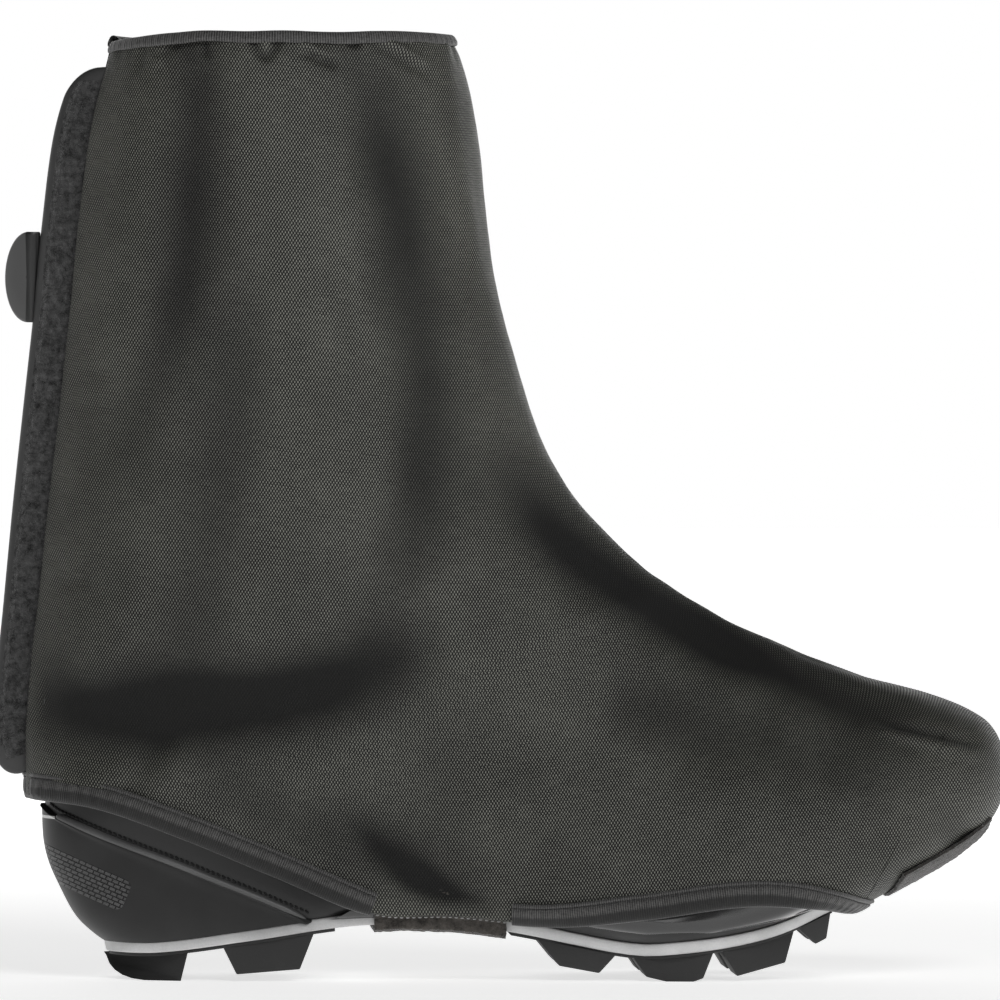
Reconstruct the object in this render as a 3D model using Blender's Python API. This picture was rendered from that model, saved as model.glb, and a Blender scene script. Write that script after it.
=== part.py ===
"""Winter cycling overshoe for the right foot, worn over its lugged shoe, empty and standing on its sole.

Toe towards +X, outer side of the foot towards -Y, up is +Z, metres.
"""

import math
from collections import namedtuple
from functools import lru_cache

import bmesh
import bpy
from mathutils import Vector
from mathutils.bvhtree import BVHTree

# Driving sizes of the worn overshoe
LENGTH = 0.299
HEIGHT = 0.291
INSTEP_HEIGHT = 0.1225
HEEL_HEIGHT = 0.0124
BALL_WIDTH = 0.104

# Fabric cover and what is sewn on it
COVER_WALL = 0.0015
GAP = 0.0003
SEAT = 0.0004
FACET = 0.0008
SLOT_HALF = 0.010
FLAP_WALL = 0.0012
FLAP_BULGE = 0.009
FLAP_TUCK = 0.007
FLAP_END_ROUND = 0.010
FLAP_LEAST_HALF = 0.004
TAPE_WALL = 0.0007
TAB_RADIUS = 0.014
TAB_WALL = 0.0012
TAB_HEIGHT = 0.217
TAB_OUT = 0.0012
TAB_SIDE = 0.0015
TAB_TURN = math.radians(60)
BINDING_WALL = 0.0009
COLLAR_BINDING_DEPTH = 0.004
HEM_BINDING_DEPTH = 0.006
GUARD_WALL = 0.0009
GUARD_PLACES = (21.0, 21.5, 22.0, 22.5, 23.0, 23.4)
GUARD_TURN = 2.2
STRAP_WALL = 0.0012
STRAP_WIDTH = 0.1355 * LENGTH
STRAP_FRONT = 0.4783 * LENGTH
STRAP_TUCK = 0.008
STRAP_SIDE_CLEAR = 0.0015
STRAP_SHOULDER = 0.0008
EDGE_CLEAR = 0.0007
BINDING_SEAT = 0.0007
OPEN_DISTANCE = 0.0010

# Shoe inside the cover
SHOE_CLEAR = 0.0011
SHOE_SEAT = 0.0008
SHOE_WALL = 0.0022
COUNTER_SEAT = 0.0010
COUNTER_WALL = 0.0008
TOPLINE_HEEL = 8.1
TOPLINE_FRONT = 0.5
TOPLINE_DIP = 0.75
INSOLE_THICKNESS = 0.003
INSOLE_MARGIN = 0.0070
PLATE_THICKNESS = 0.0037
PLATE_LIP = 0.0004
PLATE_UNDER_DEPTH = 0.0027
BASE_THICKNESS = 0.0014
BASE_MARGIN = 0.0010
LUG_TAPER = 0.22
LUG_SINK = 0.0005
CHANNEL_HALF = 0.008
HEEL_BASE_END = 0.3027 * LENGTH
FRONT_BASE_START = 0.4833 * LENGTH
FRONT_BASE_END = 0.8177 * LENGTH

# How far the shoe lies inside the cover's outer face
TAPE_DEPTH = COVER_WALL + GAP + FACET
FLAP_DEPTH = TAPE_DEPTH + TAPE_WALL + GAP
SHOE_DEPTH = FLAP_DEPTH + FLAP_WALL + SHOE_CLEAR

BALL_HALF = BALL_WIDTH / 2
COVER_COLUMNS = 12
SHOE_COLUMNS = 9
SOLE_STEPS = 16
WELD = 0.00003
BEND_WEIGHT = 0.03
COLUMN_MARGIN = 0.0025

# Heights in the tables are shares of the collar's height at the sizes of the first last
HEEL_SHARE = 0.0426
INSTEP_SHARE = 0.421

Section = namedtuple("Section", "front_x front_z back_x back_z half widest top under lean drop slot")

# Sections of the cover from the collar down the leg, round the ankle and out to the toe.
# front and back: where the section plane meets the side outline, shares of length and height.
# half: half width, widest: where along front to back it lies, top and under: how square each part is.
# lean: shift to the inner side, share of half the ball width. drop: how much lower the shoe's instep is.
# slot: half width of the rear opening, share of SLOT_HALF.
SECTIONS = [
    Section(0.4280, 0.9961, 0.0736, 0.9961, 0.673, 0.50, 2.0, 2.0, 0.000, 0.1450, 0.40),
    Section(0.4365, 0.9737, 0.0664, 0.9694, 0.712, 0.50, 2.0, 2.0, 0.000, 0.1450, 0.60),
    Section(0.4520, 0.9066, 0.0456, 0.8959, 0.750, 0.50, 2.0, 2.0, 0.000, 0.1450, 1.00),
    Section(0.4614, 0.8214, 0.0332, 0.8000, 0.769, 0.50, 2.0, 2.0, 0.000, 0.1450, 1.00),
    Section(0.4717, 0.7414, 0.0249, 0.7095, 0.769, 0.50, 2.0, 2.0, 0.000, 0.1450, 1.00),
    Section(0.4894, 0.6637, 0.0145, 0.6136, 0.769, 0.50, 2.0, 2.0, 0.000, 0.1450, 1.00),
    Section(0.5153, 0.5817, 0.0031, 0.5071, 0.760, 0.50, 2.0, 2.1, 0.000, 0.1450, 1.00),
    Section(0.5485, 0.5188, -0.0073, 0.4005, 0.760, 0.50, 2.0, 2.2, 0.000, 0.1450, 1.00),
    Section(0.5879, 0.4719, -0.0176, 0.2940, 0.769, 0.50, 2.0, 2.4, 0.000, 0.1450, 1.00),
    Section(0.6262, 0.4378, -0.0145, 0.2088, 0.779, 0.52, 2.0, 2.3, 0.000, 0.1400, 0.50),
    Section(0.6511, 0.4208, -0.0114, 0.1396, 0.778, 0.55, 2.1, 2.5, 0.000, 0.1240, 0.30),
    Section(0.6739, 0.4059, 0.0052, 0.0916, 0.768, 0.60, 2.1, 2.5, 0.000, 0.1090, 0.30),
    Section(0.6947, 0.3942, 0.0342, 0.0447, 0.762, 0.64, 2.1, 2.6, 0.000, 0.0985, 0.30),
    Section(0.7164, 0.3814, 0.0892, 0.0117, 0.765, 0.68, 2.1, 2.7, -0.010, 0.0880, 0.0),
    Section(0.7403, 0.3686, 0.1804, 0.0064, 0.780, 0.72, 2.1, 2.6, -0.020, 0.0810, 0.0),
    Section(0.7693, 0.3547, 0.2945, 0.0277, 0.775, 0.74, 2.1, 2.6, -0.030, 0.0726, 0.0),
    Section(0.8004, 0.3388, 0.4085, 0.0362, 0.805, 0.76, 2.1, 2.7, -0.030, 0.0643, 0.0),
    Section(0.8357, 0.3260, 0.5277, 0.0224, 0.905, 0.76, 2.1, 2.9, -0.010, 0.0540, 0.0),
    Section(0.8709, 0.3153, 0.6366, 0.0064, 0.990, 0.75, 2.1, 3.1, 0.020, 0.0435, 0.0),
    Section(0.9041, 0.3068, 0.7351, 0.0224, 0.990, 0.72, 2.2, 3.0, 0.050, 0.0330, 0.0),
    Section(0.9352, 0.2972, 0.8129, 0.0575, 0.933, 0.68, 2.2, 2.8, 0.080, 0.0230, 0.0),
    Section(0.9601, 0.2866, 0.8751, 0.0884, 0.827, 0.62, 2.2, 2.6, 0.100, 0.0145, 0.0),
    Section(0.9819, 0.2727, 0.9290, 0.1172, 0.673, 0.57, 2.2, 2.4, 0.115, 0.0080, 0.0),
    Section(0.9953, 0.2546, 0.9663, 0.1427, 0.500, 0.53, 2.1, 2.2, 0.125, 0.0030, 0.0),
    Section(1.0026, 0.2301, 0.9912, 0.1715, 0.288, 0.50, 2.0, 2.0, 0.130, 0.0, 0.0),
    Section(1.0041, 0.2013, 1.0041, 0.2013, 0.0, 0.50, 2.0, 2.0, 0.130, 0.0, 0.0),
]
TOE = len(SECTIONS) - 1

Station = namedtuple("Station", "x z")

# Lower edge of the cover, shares of length and height
HEM = [
    Station(-0.0124, 0.1950), Station(0.0601, 0.1854), Station(0.1472, 0.1545), Station(0.2405, 0.1151),
    Station(0.3421, 0.0735), Station(0.4209, 0.0703), Station(0.5236, 0.0618), Station(0.6190, 0.0703),
    Station(0.7216, 0.0842), Station(0.7983, 0.0799), Station(0.8357, 0.0724),
]

# Upper edge of the stiff plate, where the shoe's upper meets the sole
FEATHER = [
    Station(0.0591, 0.0426), Station(0.1213, 0.0426), Station(0.2115, 0.0554), Station(0.3204, 0.0714),
    Station(0.4085, 0.0724), Station(0.4811, 0.0650), Station(0.5910, 0.0426), Station(0.6366, 0.0400),
    Station(0.7507, 0.0586), Station(0.8543, 0.1023), Station(0.9373, 0.1502), Station(0.9840, 0.1930),
]

# Upper edge of the raised heel panel
COUNTER_EDGE = [
    Station(0.0000, 0.1910), Station(0.0218, 0.1720), Station(0.2100, 0.0960), Station(0.2830, 0.0640),
]

# Side outlines of the lugs, shares of length and height, from the plate down and round.
# The first and last stations lie inside the sole, wherever its face is.
INSIDE = 0.15
HEEL_LUGS = [
    [Station(0.0665, INSIDE), Station(0.0710, 0.0170), Station(0.0850, 0.0050), Station(0.1080, 0.0),
     Station(0.1452, 0.0), Station(0.1524, INSIDE)],
    [Station(0.1882, INSIDE), Station(0.2022, 0.0075), Station(0.2669, 0.0131), Station(0.2812, INSIDE)],
]
FRONT_LUGS = [
    [Station(0.5101, INSIDE), Station(0.5329, 0.0160), Station(0.5741, 0.0081), Station(0.5910, INSIDE)],
    [Station(0.6083, INSIDE), Station(0.6221, 0.0046), Station(0.6420, 0.0), Station(0.6700, 0.0),
     Station(0.6798, 0.0036), Station(0.6900, INSIDE)],
    [Station(0.6990, INSIDE), Station(0.7149, 0.0053), Station(0.7662, 0.0184), Station(0.7755, INSIDE)],
    [Station(0.7802, INSIDE), Station(0.8000, 0.0362), Station(0.8120, 0.0420), Station(0.8160, INSIDE)],
]

Finish = namedtuple("Finish", "colour roughness metallic")
FINISHES = {
    "cover_fabric": Finish((0.045, 0.045, 0.042), 0.85, 0.0),
    "flap_fabric": Finish((0.050, 0.050, 0.047), 0.70, 0.0),
    "loop_pile": Finish((0.030, 0.030, 0.030), 0.95, 0.0),
    "tab_rubber": Finish((0.025, 0.025, 0.027), 0.45, 0.0),
    "elastic": Finish((0.035, 0.034, 0.033), 0.85, 0.0),
    "strap_web": Finish((0.060, 0.052, 0.046), 0.95, 0.0),
    "guard_felt": Finish((0.070, 0.058, 0.050), 0.95, 0.0),
    "shoe_synthetic": Finish((0.030, 0.030, 0.032), 0.45, 0.0),
    "counter_synthetic": Finish((0.035, 0.035, 0.037), 0.40, 0.0),
    "insole_foam": Finish((0.10, 0.10, 0.10), 0.90, 0.0),
    "plate_plastic": Finish((0.42, 0.42, 0.41), 0.45, 0.0),
    "sole_rubber": Finish((0.018, 0.018, 0.018), 0.65, 0.0),
}


# Shape of the last

def smooth(values, place):
    """Value at a place along evenly spaced values, on a smooth curve through them."""
    first = min(max(int(place), 0), len(values) - 2)
    share = place - first
    before = values[max(first - 1, 0)]
    start = values[first]
    end = values[first + 1]
    after = values[min(first + 2, len(values) - 1)]
    bend = 2 * before - 5 * start + 4 * end - after
    twist = 3 * (start - end) + after - before
    return start + 0.5 * share * (end - before + share * (bend + share * twist))


def level(share):
    """Height of a table share: heel, instep and collar heights each set their own stretch."""
    knots = [(0.0, 0.0), (HEEL_SHARE, HEEL_HEIGHT), (INSTEP_SHARE, INSTEP_HEIGHT), (1.0, HEIGHT)]
    upper = 1
    while upper < len(knots) - 1 and share > knots[upper][0]:
        upper += 1
    low_share, low = knots[upper - 1]
    high_share, high = knots[upper]
    return low + (share - low_share) / (high_share - low_share) * (high - low)


def side_line(stations):
    """Height as a smooth function of x through the stations of a table."""
    xs = [station.x * LENGTH for station in stations]
    zs = [level(station.z) for station in stations]
    last = len(xs) - 1

    def slope(index):
        low = max(index - 1, 0)
        high = min(index + 1, last)
        return (zs[high] - zs[low]) / (xs[high] - xs[low])

    def height(x):
        x = min(max(x, xs[0]), xs[-1])
        index = 0
        while index < last - 1 and x > xs[index + 1]:
            index += 1
        span = xs[index + 1] - xs[index]
        share = (x - xs[index]) / span
        rest = 1 - share
        return (zs[index] * rest * rest * (1 + 2 * share) + zs[index + 1] * share * share * (1 + 2 * rest)
                + span * share * rest * (slope(index) * rest - slope(index + 1) * share))

    return height


@lru_cache(maxsize=None)
def section(place, dropped):
    """Interpolated section with its front and back points; dropped gives the shoe's lower instep."""
    row = Section(*(smooth(column, place) for column in zip(*SECTIONS)))
    front = Vector((row.front_x * LENGTH, level(row.front_z)))
    back = Vector((row.back_x * LENGTH, level(row.back_z)))
    if dropped:
        down = back - front
        if down.length > 0:
            front += down.normalized() * min(max(row.drop, 0.0) * LENGTH, down.length)
    return row, front, back


def form_point(place, turn, dropped=False):
    """Point of the outer form at a turn: 0 in front, pi or -pi at the back, negative on the outer side."""
    if abs(turn) > math.pi:
        turn -= math.copysign(2 * math.pi, turn)
    row, front, back = section(place, dropped)
    angle = abs(turn)
    if angle <= math.pi / 2:
        along = row.widest * (1 - max(math.cos(angle), 0.0) ** (2 / row.top))
        across = math.sin(angle) ** (2 / row.top)
    else:
        along = row.widest + (1 - row.widest) * max(-math.cos(angle), 0.0) ** (2 / row.under)
        across = max(math.sin(angle), 0.0) ** (2 / row.under)
    spot = front.lerp(back, along)
    half = max(row.half, 0.0) * BALL_HALF
    return Vector((spot.x, row.lean * BALL_HALF + math.copysign(half * across, turn), spot.y))


def core_point(place, dropped=False):
    """Middle of a section, which every outer face looks away from."""
    row, front, back = section(place, dropped)
    spot = front.lerp(back, 0.5)
    return Vector((spot.x, row.lean * BALL_HALF, spot.y))


def form_normal(place, turn, dropped=False):
    """Outward normal of the form."""
    step = 0.02
    if place > TOE - step:
        return (core_point(TOE) - core_point(TOE - 1)).normalized()
    down = form_point(min(place + step, TOE), turn, dropped) - form_point(max(place - step, 0), turn, dropped)
    around = form_point(place, turn + step, dropped) - form_point(place, turn - step, dropped)
    normal = down.cross(around).normalized()
    if normal.dot(form_point(place, turn, dropped) - core_point(place, dropped)) < 0:
        normal.negate()
    return normal


def surface(place, turn, offset=0.0, dropped=False):
    """Point at a distance outside (or, negative, inside) the cover's outer form."""
    point = form_point(place, turn, dropped)
    if offset:
        point += form_normal(place, turn, dropped) * offset
    return point


def crossing(place, line, offset=0.0, dropped=False):
    """Turn where the section passes below a side line, or pi where it never does."""
    def above(turn):
        point = surface(place, turn, offset, dropped)
        return point.z > line(point.x)

    if above(math.pi):
        return math.pi
    low = 0.0
    high = math.pi
    for _ in range(26):
        middle = (low + high) / 2
        if above(middle):
            low = middle
        else:
            high = middle
    return (low + high) / 2


def meeting(line, start, end, offset=0.0, dropped=False):
    """Place between start and end where the form's back line meets a side line; it lies above it at start."""
    for _ in range(30):
        middle = (start + end) / 2
        point = surface(middle, math.pi, offset, dropped)
        if point.z > line(point.x):
            start = middle
        else:
            end = middle
    return (start + end) / 2


@lru_cache(maxsize=None)
def even_turns(place, count, dropped=False):
    """Turns from the front to the back that share out the section's length and its bends evenly."""
    steps = 90
    turns = [math.pi * index / steps for index in range(steps + 1)]
    points = [form_point(place, turn, dropped) for turn in turns]
    edges = [after - before for before, after in zip(points, points[1:])]
    if sum(edge.length for edge in edges) < WELD:
        return [math.pi * index / count for index in range(count + 1)]
    travelled = [0.0]
    for index, edge in enumerate(edges):
        bend = edge.angle(edges[index - 1], 0.0) if index else 0.0
        travelled.append(travelled[-1] + edge.length + BEND_WEIGHT * bend)
    result = []
    index = 0
    for number in range(count + 1):
        target = travelled[-1] * number / count
        while index < steps - 1 and travelled[index + 1] < target:
            index += 1
        share = (target - travelled[index]) / (travelled[index + 1] - travelled[index])
        result.append(turns[index] + (turns[index + 1] - turns[index]) * share)
    return result


def kept_turns(place, start, end, count, dropped):
    """Turns of a section's columns, those before the start or past the end gathered there."""
    reach = (form_point(place, math.pi / 2, dropped) - form_point(place, 0.0, dropped)).length
    margin = COLUMN_MARGIN / max(reach, COLUMN_MARGIN)
    turns = []
    for turn in even_turns(place, count, dropped):
        if turn < start + margin:
            turn = start
        if turn > end - margin:
            turn = end
        turns.append(turn)
    turns[0] = start
    turns[-1] = end
    return turns


hem_line = side_line(HEM)
feather_line = side_line(FEATHER)
counter_line = side_line(COUNTER_EDGE)
HEM_HEEL = meeting(hem_line, 8.0, 11.0)
HEM_TOE = meeting(hem_line, 22.0, 19.0)
SLOT_END = HEM_HEEL - 0.05
SLOT_ROUND = 0.25


def slot_half(place):
    """Half width of the cover's rear opening at a section; its lower end is round."""
    half = max(section(place, False)[0].slot, 0.0) * SLOT_HALF
    past = (place - SLOT_END + SLOT_ROUND) / SLOT_ROUND
    if past <= 0:
        return half
    return half * math.sqrt(max(1 - past * past, 0.0))


def slot_turn(place):
    """Turn at which the cover ends beside its rear opening."""
    row = section(place, False)[0]
    share = slot_half(place) / (row.half * BALL_HALF)
    return math.pi - math.asin(share ** (row.under / 2))


def cover_end(place):
    """Turn at which the cover ends: at the rear opening, at the hem, or not at all beneath the toe."""
    if place >= HEM_TOE:
        return math.pi
    below = crossing(place, hem_line)
    if place < HEM_HEEL + 1:
        return min(below, slot_turn(place))
    return below


# Making meshes

def finish_material(name):
    """Plain material of a piece."""
    finish = FINISHES[name]
    material = bpy.data.materials.new(name)
    material.use_nodes = True
    shader = material.node_tree.nodes["Principled BSDF"]
    shader.inputs["Base Color"].default_value = (*finish.colour, 1.0)
    shader.inputs["Roughness"].default_value = finish.roughness
    shader.inputs["Metallic"].default_value = finish.metallic
    material.diffuse_color = (*finish.colour, 1.0)
    return material


def add_object(name, mesh, material):
    """Link a mesh to the scene as a named piece under the frame empty."""
    piece = bpy.data.objects.new(name, mesh)
    bpy.context.scene.collection.objects.link(piece)
    mesh.materials.append(material)
    piece.parent = frame
    return piece


def sheet(name, grids, wall, outward, material):
    """Piece from grids of points with a core point for each row; its wall grows away from or to the cores."""
    build = bmesh.new()
    for rows, cores in grids:
        vertices = [[build.verts.new(point) for point in row] for row in rows]
        faces = []
        lean = 0.0
        for index in range(len(rows) - 1):
            for column in range(len(rows[index]) - 1):
                corners = (vertices[index][column], vertices[index][column + 1],
                           vertices[index + 1][column + 1], vertices[index + 1][column])
                face = build.faces.new(corners)
                face.normal_update()
                core = (cores[index] + cores[index + 1]) / 2
                lean += face.normal.dot((face.calc_center_median() - core).normalized())
                faces.append(face)
        if lean < 0:
            bmesh.ops.reverse_faces(build, faces=faces)
    bmesh.ops.remove_doubles(build, verts=build.verts, dist=WELD)
    bmesh.ops.dissolve_degenerate(build, edges=build.edges, dist=WELD)
    for face in build.faces:
        face.smooth = True
    mesh = bpy.data.meshes.new(name)
    build.to_mesh(mesh)
    build.free()
    piece = add_object(name, mesh, material)
    solidify = piece.modifiers.new("wall", "SOLIDIFY")
    solidify.thickness = wall
    solidify.offset = 1.0 if outward else -1.0
    solidify.use_even_offset = True
    solidify.use_quality_normals = True
    return piece


def slab(name, upper, lower, material):
    """Flat piece between the near and far points of its upper and its lower outline."""
    build = bmesh.new()
    rings = []
    for (near, far), (low_near, low_far) in zip(upper, lower):
        top = build.verts.new(near)
        bottom = build.verts.new(low_near)
        if (far - near).length < WELD:
            rings.append((top, top, bottom, bottom))
        else:
            rings.append((top, build.verts.new(far), build.verts.new(low_far), bottom))

    def close(*corners):
        kept = [corner for index, corner in enumerate(corners) if corner is not corners[index - 1]]
        if len(kept) > 2:
            build.faces.new(kept)

    for before, after in zip(rings, rings[1:]):
        for corner in range(4):
            follow = (corner + 1) % 4
            close(before[corner], before[follow], after[follow], after[corner])
    close(*rings[0][::-1])
    close(*rings[-1])
    bmesh.ops.recalc_face_normals(build, faces=build.faces)
    mesh = bpy.data.meshes.new(name)
    build.to_mesh(mesh)
    build.free()
    return add_object(name, mesh, material)


def half_grids(places, start_of, end_of, columns, offset, dropped):
    """Grids of the outer and the inner half of a wrap, from start to end turn on each section."""
    grids = []
    for side in (-1, 1):
        rows = []
        for place in places:
            turns = kept_turns(place, start_of(place), end_of(place), columns, dropped)
            rows.append([surface(place, side * turn, offset, dropped) for turn in turns])
        grids.append((rows, [core_point(place, dropped) for place in places]))
    return grids


def face_tree(piece):
    """Search tree of a piece's own faces, without its wall."""
    points = [vertex.co.copy() for vertex in piece.data.vertices]
    return BVHTree.FromPolygons(points, [tuple(face.vertices) for face in piece.data.polygons])


# Overshoe

def cover_places():
    """Places of the cover's rows, closer where the hem runs out of the back and the toe."""
    shaft = (0.0, 0.5, 1.0, 2.0, 3.0, 4.0, 5.0, 6.0, 7.0, 7.5, 8.0, 8.5)
    slot = [SLOT_END - row for row in (0.25, 0.12, 0.05, 0.01, 0.0)]
    heel = [HEM_HEEL + row for row in (0.0, 0.05, 0.15, 0.35, 0.6)]
    middle = (10.0, 10.5, 11.0, 12.0, 13.0, 14.0, *strap_places(), 17.0, 17.5, 18.0, 18.5, 19.0, 19.5)
    toe = [HEM_TOE - row for row in (0.0, 0.05, 0.2, 0.45)]
    tip = (21.0, 21.5, 22.0, 22.5, 23.0, 23.5, 24.0, 24.5, float(TOE))
    return sorted({round(place, 6) for place in (*shaft, *slot, *heel, *middle, *toe, *tip)})


def make_cover():
    """Hollow fabric cover, open at the collar, down the back and underneath."""
    grids = half_grids(cover_places(), lambda place: 0.0, cover_end, COVER_COLUMNS, 0.0, False)
    return sheet("overshoe_upper", grids, COVER_WALL, False, finish_material("cover_fabric"))


def fold_over(tree, path, normals, ups, depth, name, material):
    """Binding folded over an edge: down the outer face and round the edge."""
    rows = []
    cores = []
    for point, normal, up in zip(*(finer(line) for line in (path, normals, ups))):
        rows.append([
            on_cover(tree, point + up * depth, normal, BINDING_SEAT),
            on_cover(tree, point + up * depth / 2, normal, BINDING_SEAT),
            point + normal * BINDING_SEAT - up * EDGE_CLEAR,
            point - normal * COVER_WALL - up * EDGE_CLEAR,
        ])
        cores.append(point - normal * (COVER_WALL / 2) + up * (depth / 3))
    return sheet(name, [(rows, cores)], BINDING_WALL, True, material)


def finer(line):
    """Vectors of a line with one more between each pair, straight between them."""
    result = []
    for start, end in zip(line, line[1:]):
        result += [start, start.lerp(end, 0.5)]
    return result + [line[-1]]


def on_cover(tree, point, outward, offset):
    """Nearest point of the cover's outer face, moved out; over the rear opening the point itself moves."""
    spot, normal, _, distance = tree.find_nearest(point)
    if distance > OPEN_DISTANCE:
        return point + outward * offset
    if normal.dot(outward) < 0:
        normal = -normal
    return spot + normal * offset


def make_collar_binding(tree):
    """Ribbed elastic over the collar's edge."""
    turns = kept_turns(0.0, 0.0, cover_end(0.0), COVER_COLUMNS, False)
    turns = [-turn for turn in turns[:0:-1]] + turns
    path = [form_point(0.0, turn) for turn in turns]
    normals = [form_normal(0.0, turn) for turn in turns]
    ups = edge_ups(path, normals, -1)
    elastic = finish_material("elastic")
    return fold_over(tree, path, normals, ups, COLLAR_BINDING_DEPTH, "collar_binding", elastic)


def edge_ups(path, normals, sign):
    """Directions from an edge into the cover; at the first point sign says whether that is up or down."""
    ups = []
    for index, normal in enumerate(normals):
        ahead = path[min(index + 1, len(path) - 1)] - path[max(index - 1, 0)]
        up = ahead.cross(normal).normalized()
        same_way = up.dot(ups[-1]) if ups else up.z * sign
        ups.append(up if same_way > 0 else -up)
    return ups


def place_at(x, line):
    """Place of the section that meets a side line at x."""
    low = HEM_HEEL
    high = HEM_TOE
    for _ in range(30):
        middle = (low + high) / 2
        if form_point(middle, crossing(middle, line)).x < x:
            low = middle
        else:
            high = middle
    return (low + high) / 2


def hem_binding(tree, name, places):
    """Binding along the hem round from side to side; the first place is in the middle."""
    path = []
    normals = []
    for side, order in ((-1, places[:0:-1]), (1, places)):
        for place in order:
            turn = side * crossing(place, hem_line)
            path.append(form_point(place, turn))
            normals.append(form_normal(place, turn))
    ups = edge_ups(path, normals, 1)
    return fold_over(tree, path, normals, ups, HEM_BINDING_DEPTH, name, finish_material("elastic"))


def strap_places():
    """Places where the hem bindings end, behind and in front of the strap."""
    behind = place_at(STRAP_FRONT - STRAP_WIDTH - STRAP_SIDE_CLEAR, hem_line)
    ahead = place_at(STRAP_FRONT + STRAP_SIDE_CLEAR, hem_line)
    return behind, ahead


def make_hem_bindings(tree):
    """Ribbed elastic along the hem, in front of the strap and behind it."""
    rear_place, front_place = strap_places()
    rows = cover_places()
    between = [place for place in rows if front_place + 0.1 < place < HEM_TOE - 0.01]
    behind = [place for place in rows if HEM_HEEL + 0.01 < place < rear_place - 0.1]
    hem_binding(tree, "hem_binding_front", [HEM_TOE, *between[::-1], front_place])
    hem_binding(tree, "hem_binding_rear", [HEM_HEEL, *behind, rear_place])


def make_toe_guard():
    """Abrasion patch under the toe, in front of the hem."""
    grids = half_grids(GUARD_PLACES, lambda place: GUARD_TURN, lambda place: math.pi, COVER_COLUMNS,
                       SEAT, False)
    return sheet("toe_guard", grids, GUARD_WALL, True, finish_material("guard_felt"))


# Rear closure

CLOSURE_TOP = 1.05
CLOSURE_BOTTOM = 8.88

# Flap's outer face over the rear opening. across: share of the opening's half width,
# bulge: share of the bulge that its round ends lose, out: share that they keep.
Knot = namedtuple("Knot", "across bulge out")
FLAP_KNOTS = [
    Knot(-0.62, 0.13, -0.38), Knot(-0.52, 0.48, -0.22), Knot(-0.34, 0.80, 0.01),
    Knot(-0.03, 0.92, 0.09), Knot(0.34, 0.66, 0.13), Knot(0.72, 0.22, 0.17),
]
# Shares of the tuck at which the flap lies inside the outer panel and outside the inner one
TUCKED_KNOTS = (1.0, 0.55, 0.05)
LAPPED_KNOTS = (0.22, 0.65, 1.0)
TAPE_COLUMNS = 7
TAB_COLUMN = 6


def closure_rise(place):
    """Share of its full bulge that the closure has at a section; its ends are quarter rounds."""
    here = section(place, False)[2]
    top = section(CLOSURE_TOP, False)[2]
    bottom = section(CLOSURE_BOTTOM, False)[2]
    reach = min((here - top).length, (here - bottom).length) / FLAP_END_ROUND
    if reach >= 1:
        return 1.0
    return math.sqrt(1 - (1 - reach) ** 2)


def turn_at(place, y):
    """Turn near the back where the form lies at y from its middle."""
    row = section(place, False)[0]
    share = min(abs(y) / (row.half * BALL_HALF), 1.0)
    return math.copysign(math.pi - math.asin(share ** (row.under / 2)), y)


def closure_profile(place):
    """Outer face of the flap across the back, from inside the outer panel to outside the inner one."""
    row, front, back = section(place, False)
    out = (back - front).normalized()
    half = max(slot_half(place), FLAP_LEAST_HALF)
    rise = closure_rise(place)
    points = []
    for share in TUCKED_KNOTS:
        points.append(surface(place, turn_at(place, -half - share * FLAP_TUCK), -FLAP_DEPTH))
    for knot in FLAP_KNOTS:
        height = FLAP_BULGE * (knot.out + knot.bulge * rise)
        points.append(Vector((back.x + out.x * height, row.lean * BALL_HALF + knot.across * half,
                              back.y + out.y * height)))
    for share in LAPPED_KNOTS:
        points.append(surface(place, turn_at(place, half + share * FLAP_TUCK), GAP + FLAP_WALL))
    return points


def closure_places():
    """Sections at which the closure is drawn, closer at its round ends."""
    ends = (0.0, 0.03, 0.1, 0.22, 0.4)
    places = [CLOSURE_TOP + step for step in ends] + [2.0, 3.0, 4.0, 5.0, 6.0, 7.0, 8.0]
    places += [CLOSURE_BOTTOM - step for step in ends]
    return sorted(places)


def make_flap():
    """Padded flap that closes the back."""
    places = closure_places()
    rows = [closure_profile(place) for place in places]
    cores = [core_point(place) for place in places]
    return sheet("closure_flap", [(rows, cores)], FLAP_WALL, False, finish_material("flap_fabric"))


def profile_normals(rows):
    """Normals of a grid of points at its rows and columns, away from the leg."""
    normals = []
    for index, row in enumerate(rows):
        above = rows[max(index - 1, 0)]
        below = rows[min(index + 1, len(rows) - 1)]
        line = []
        for column in range(len(row)):
            along = row[min(column + 1, len(row) - 1)] - row[max(column - 1, 0)]
            down = below[column] - above[column]
            line.append(along.cross(down).normalized())
        normals.append(line)
    return normals


def make_tape():
    """Fuzzy loop tape on the flap beside the outer panel's edge."""
    places = [place for place in closure_places() if CLOSURE_TOP + 0.05 < place < CLOSURE_BOTTOM - 0.05]
    profiles = [closure_profile(place) for place in places]
    normals = profile_normals(profiles)
    rows = []
    for index, place in enumerate(places):
        outward = profiles[index][0] - core_point(place)
        lift = GAP if normals[index][0].dot(outward) > 0 else -GAP
        pairs = zip(profiles[index][:TAPE_COLUMNS], normals[index])
        rows.append([point + normal * lift for point, normal in pairs])
    cores = [core_point(place) for place in places]
    return sheet("loop_tape", [(rows, cores)], TAPE_WALL, True, finish_material("loop_pile"))


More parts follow.
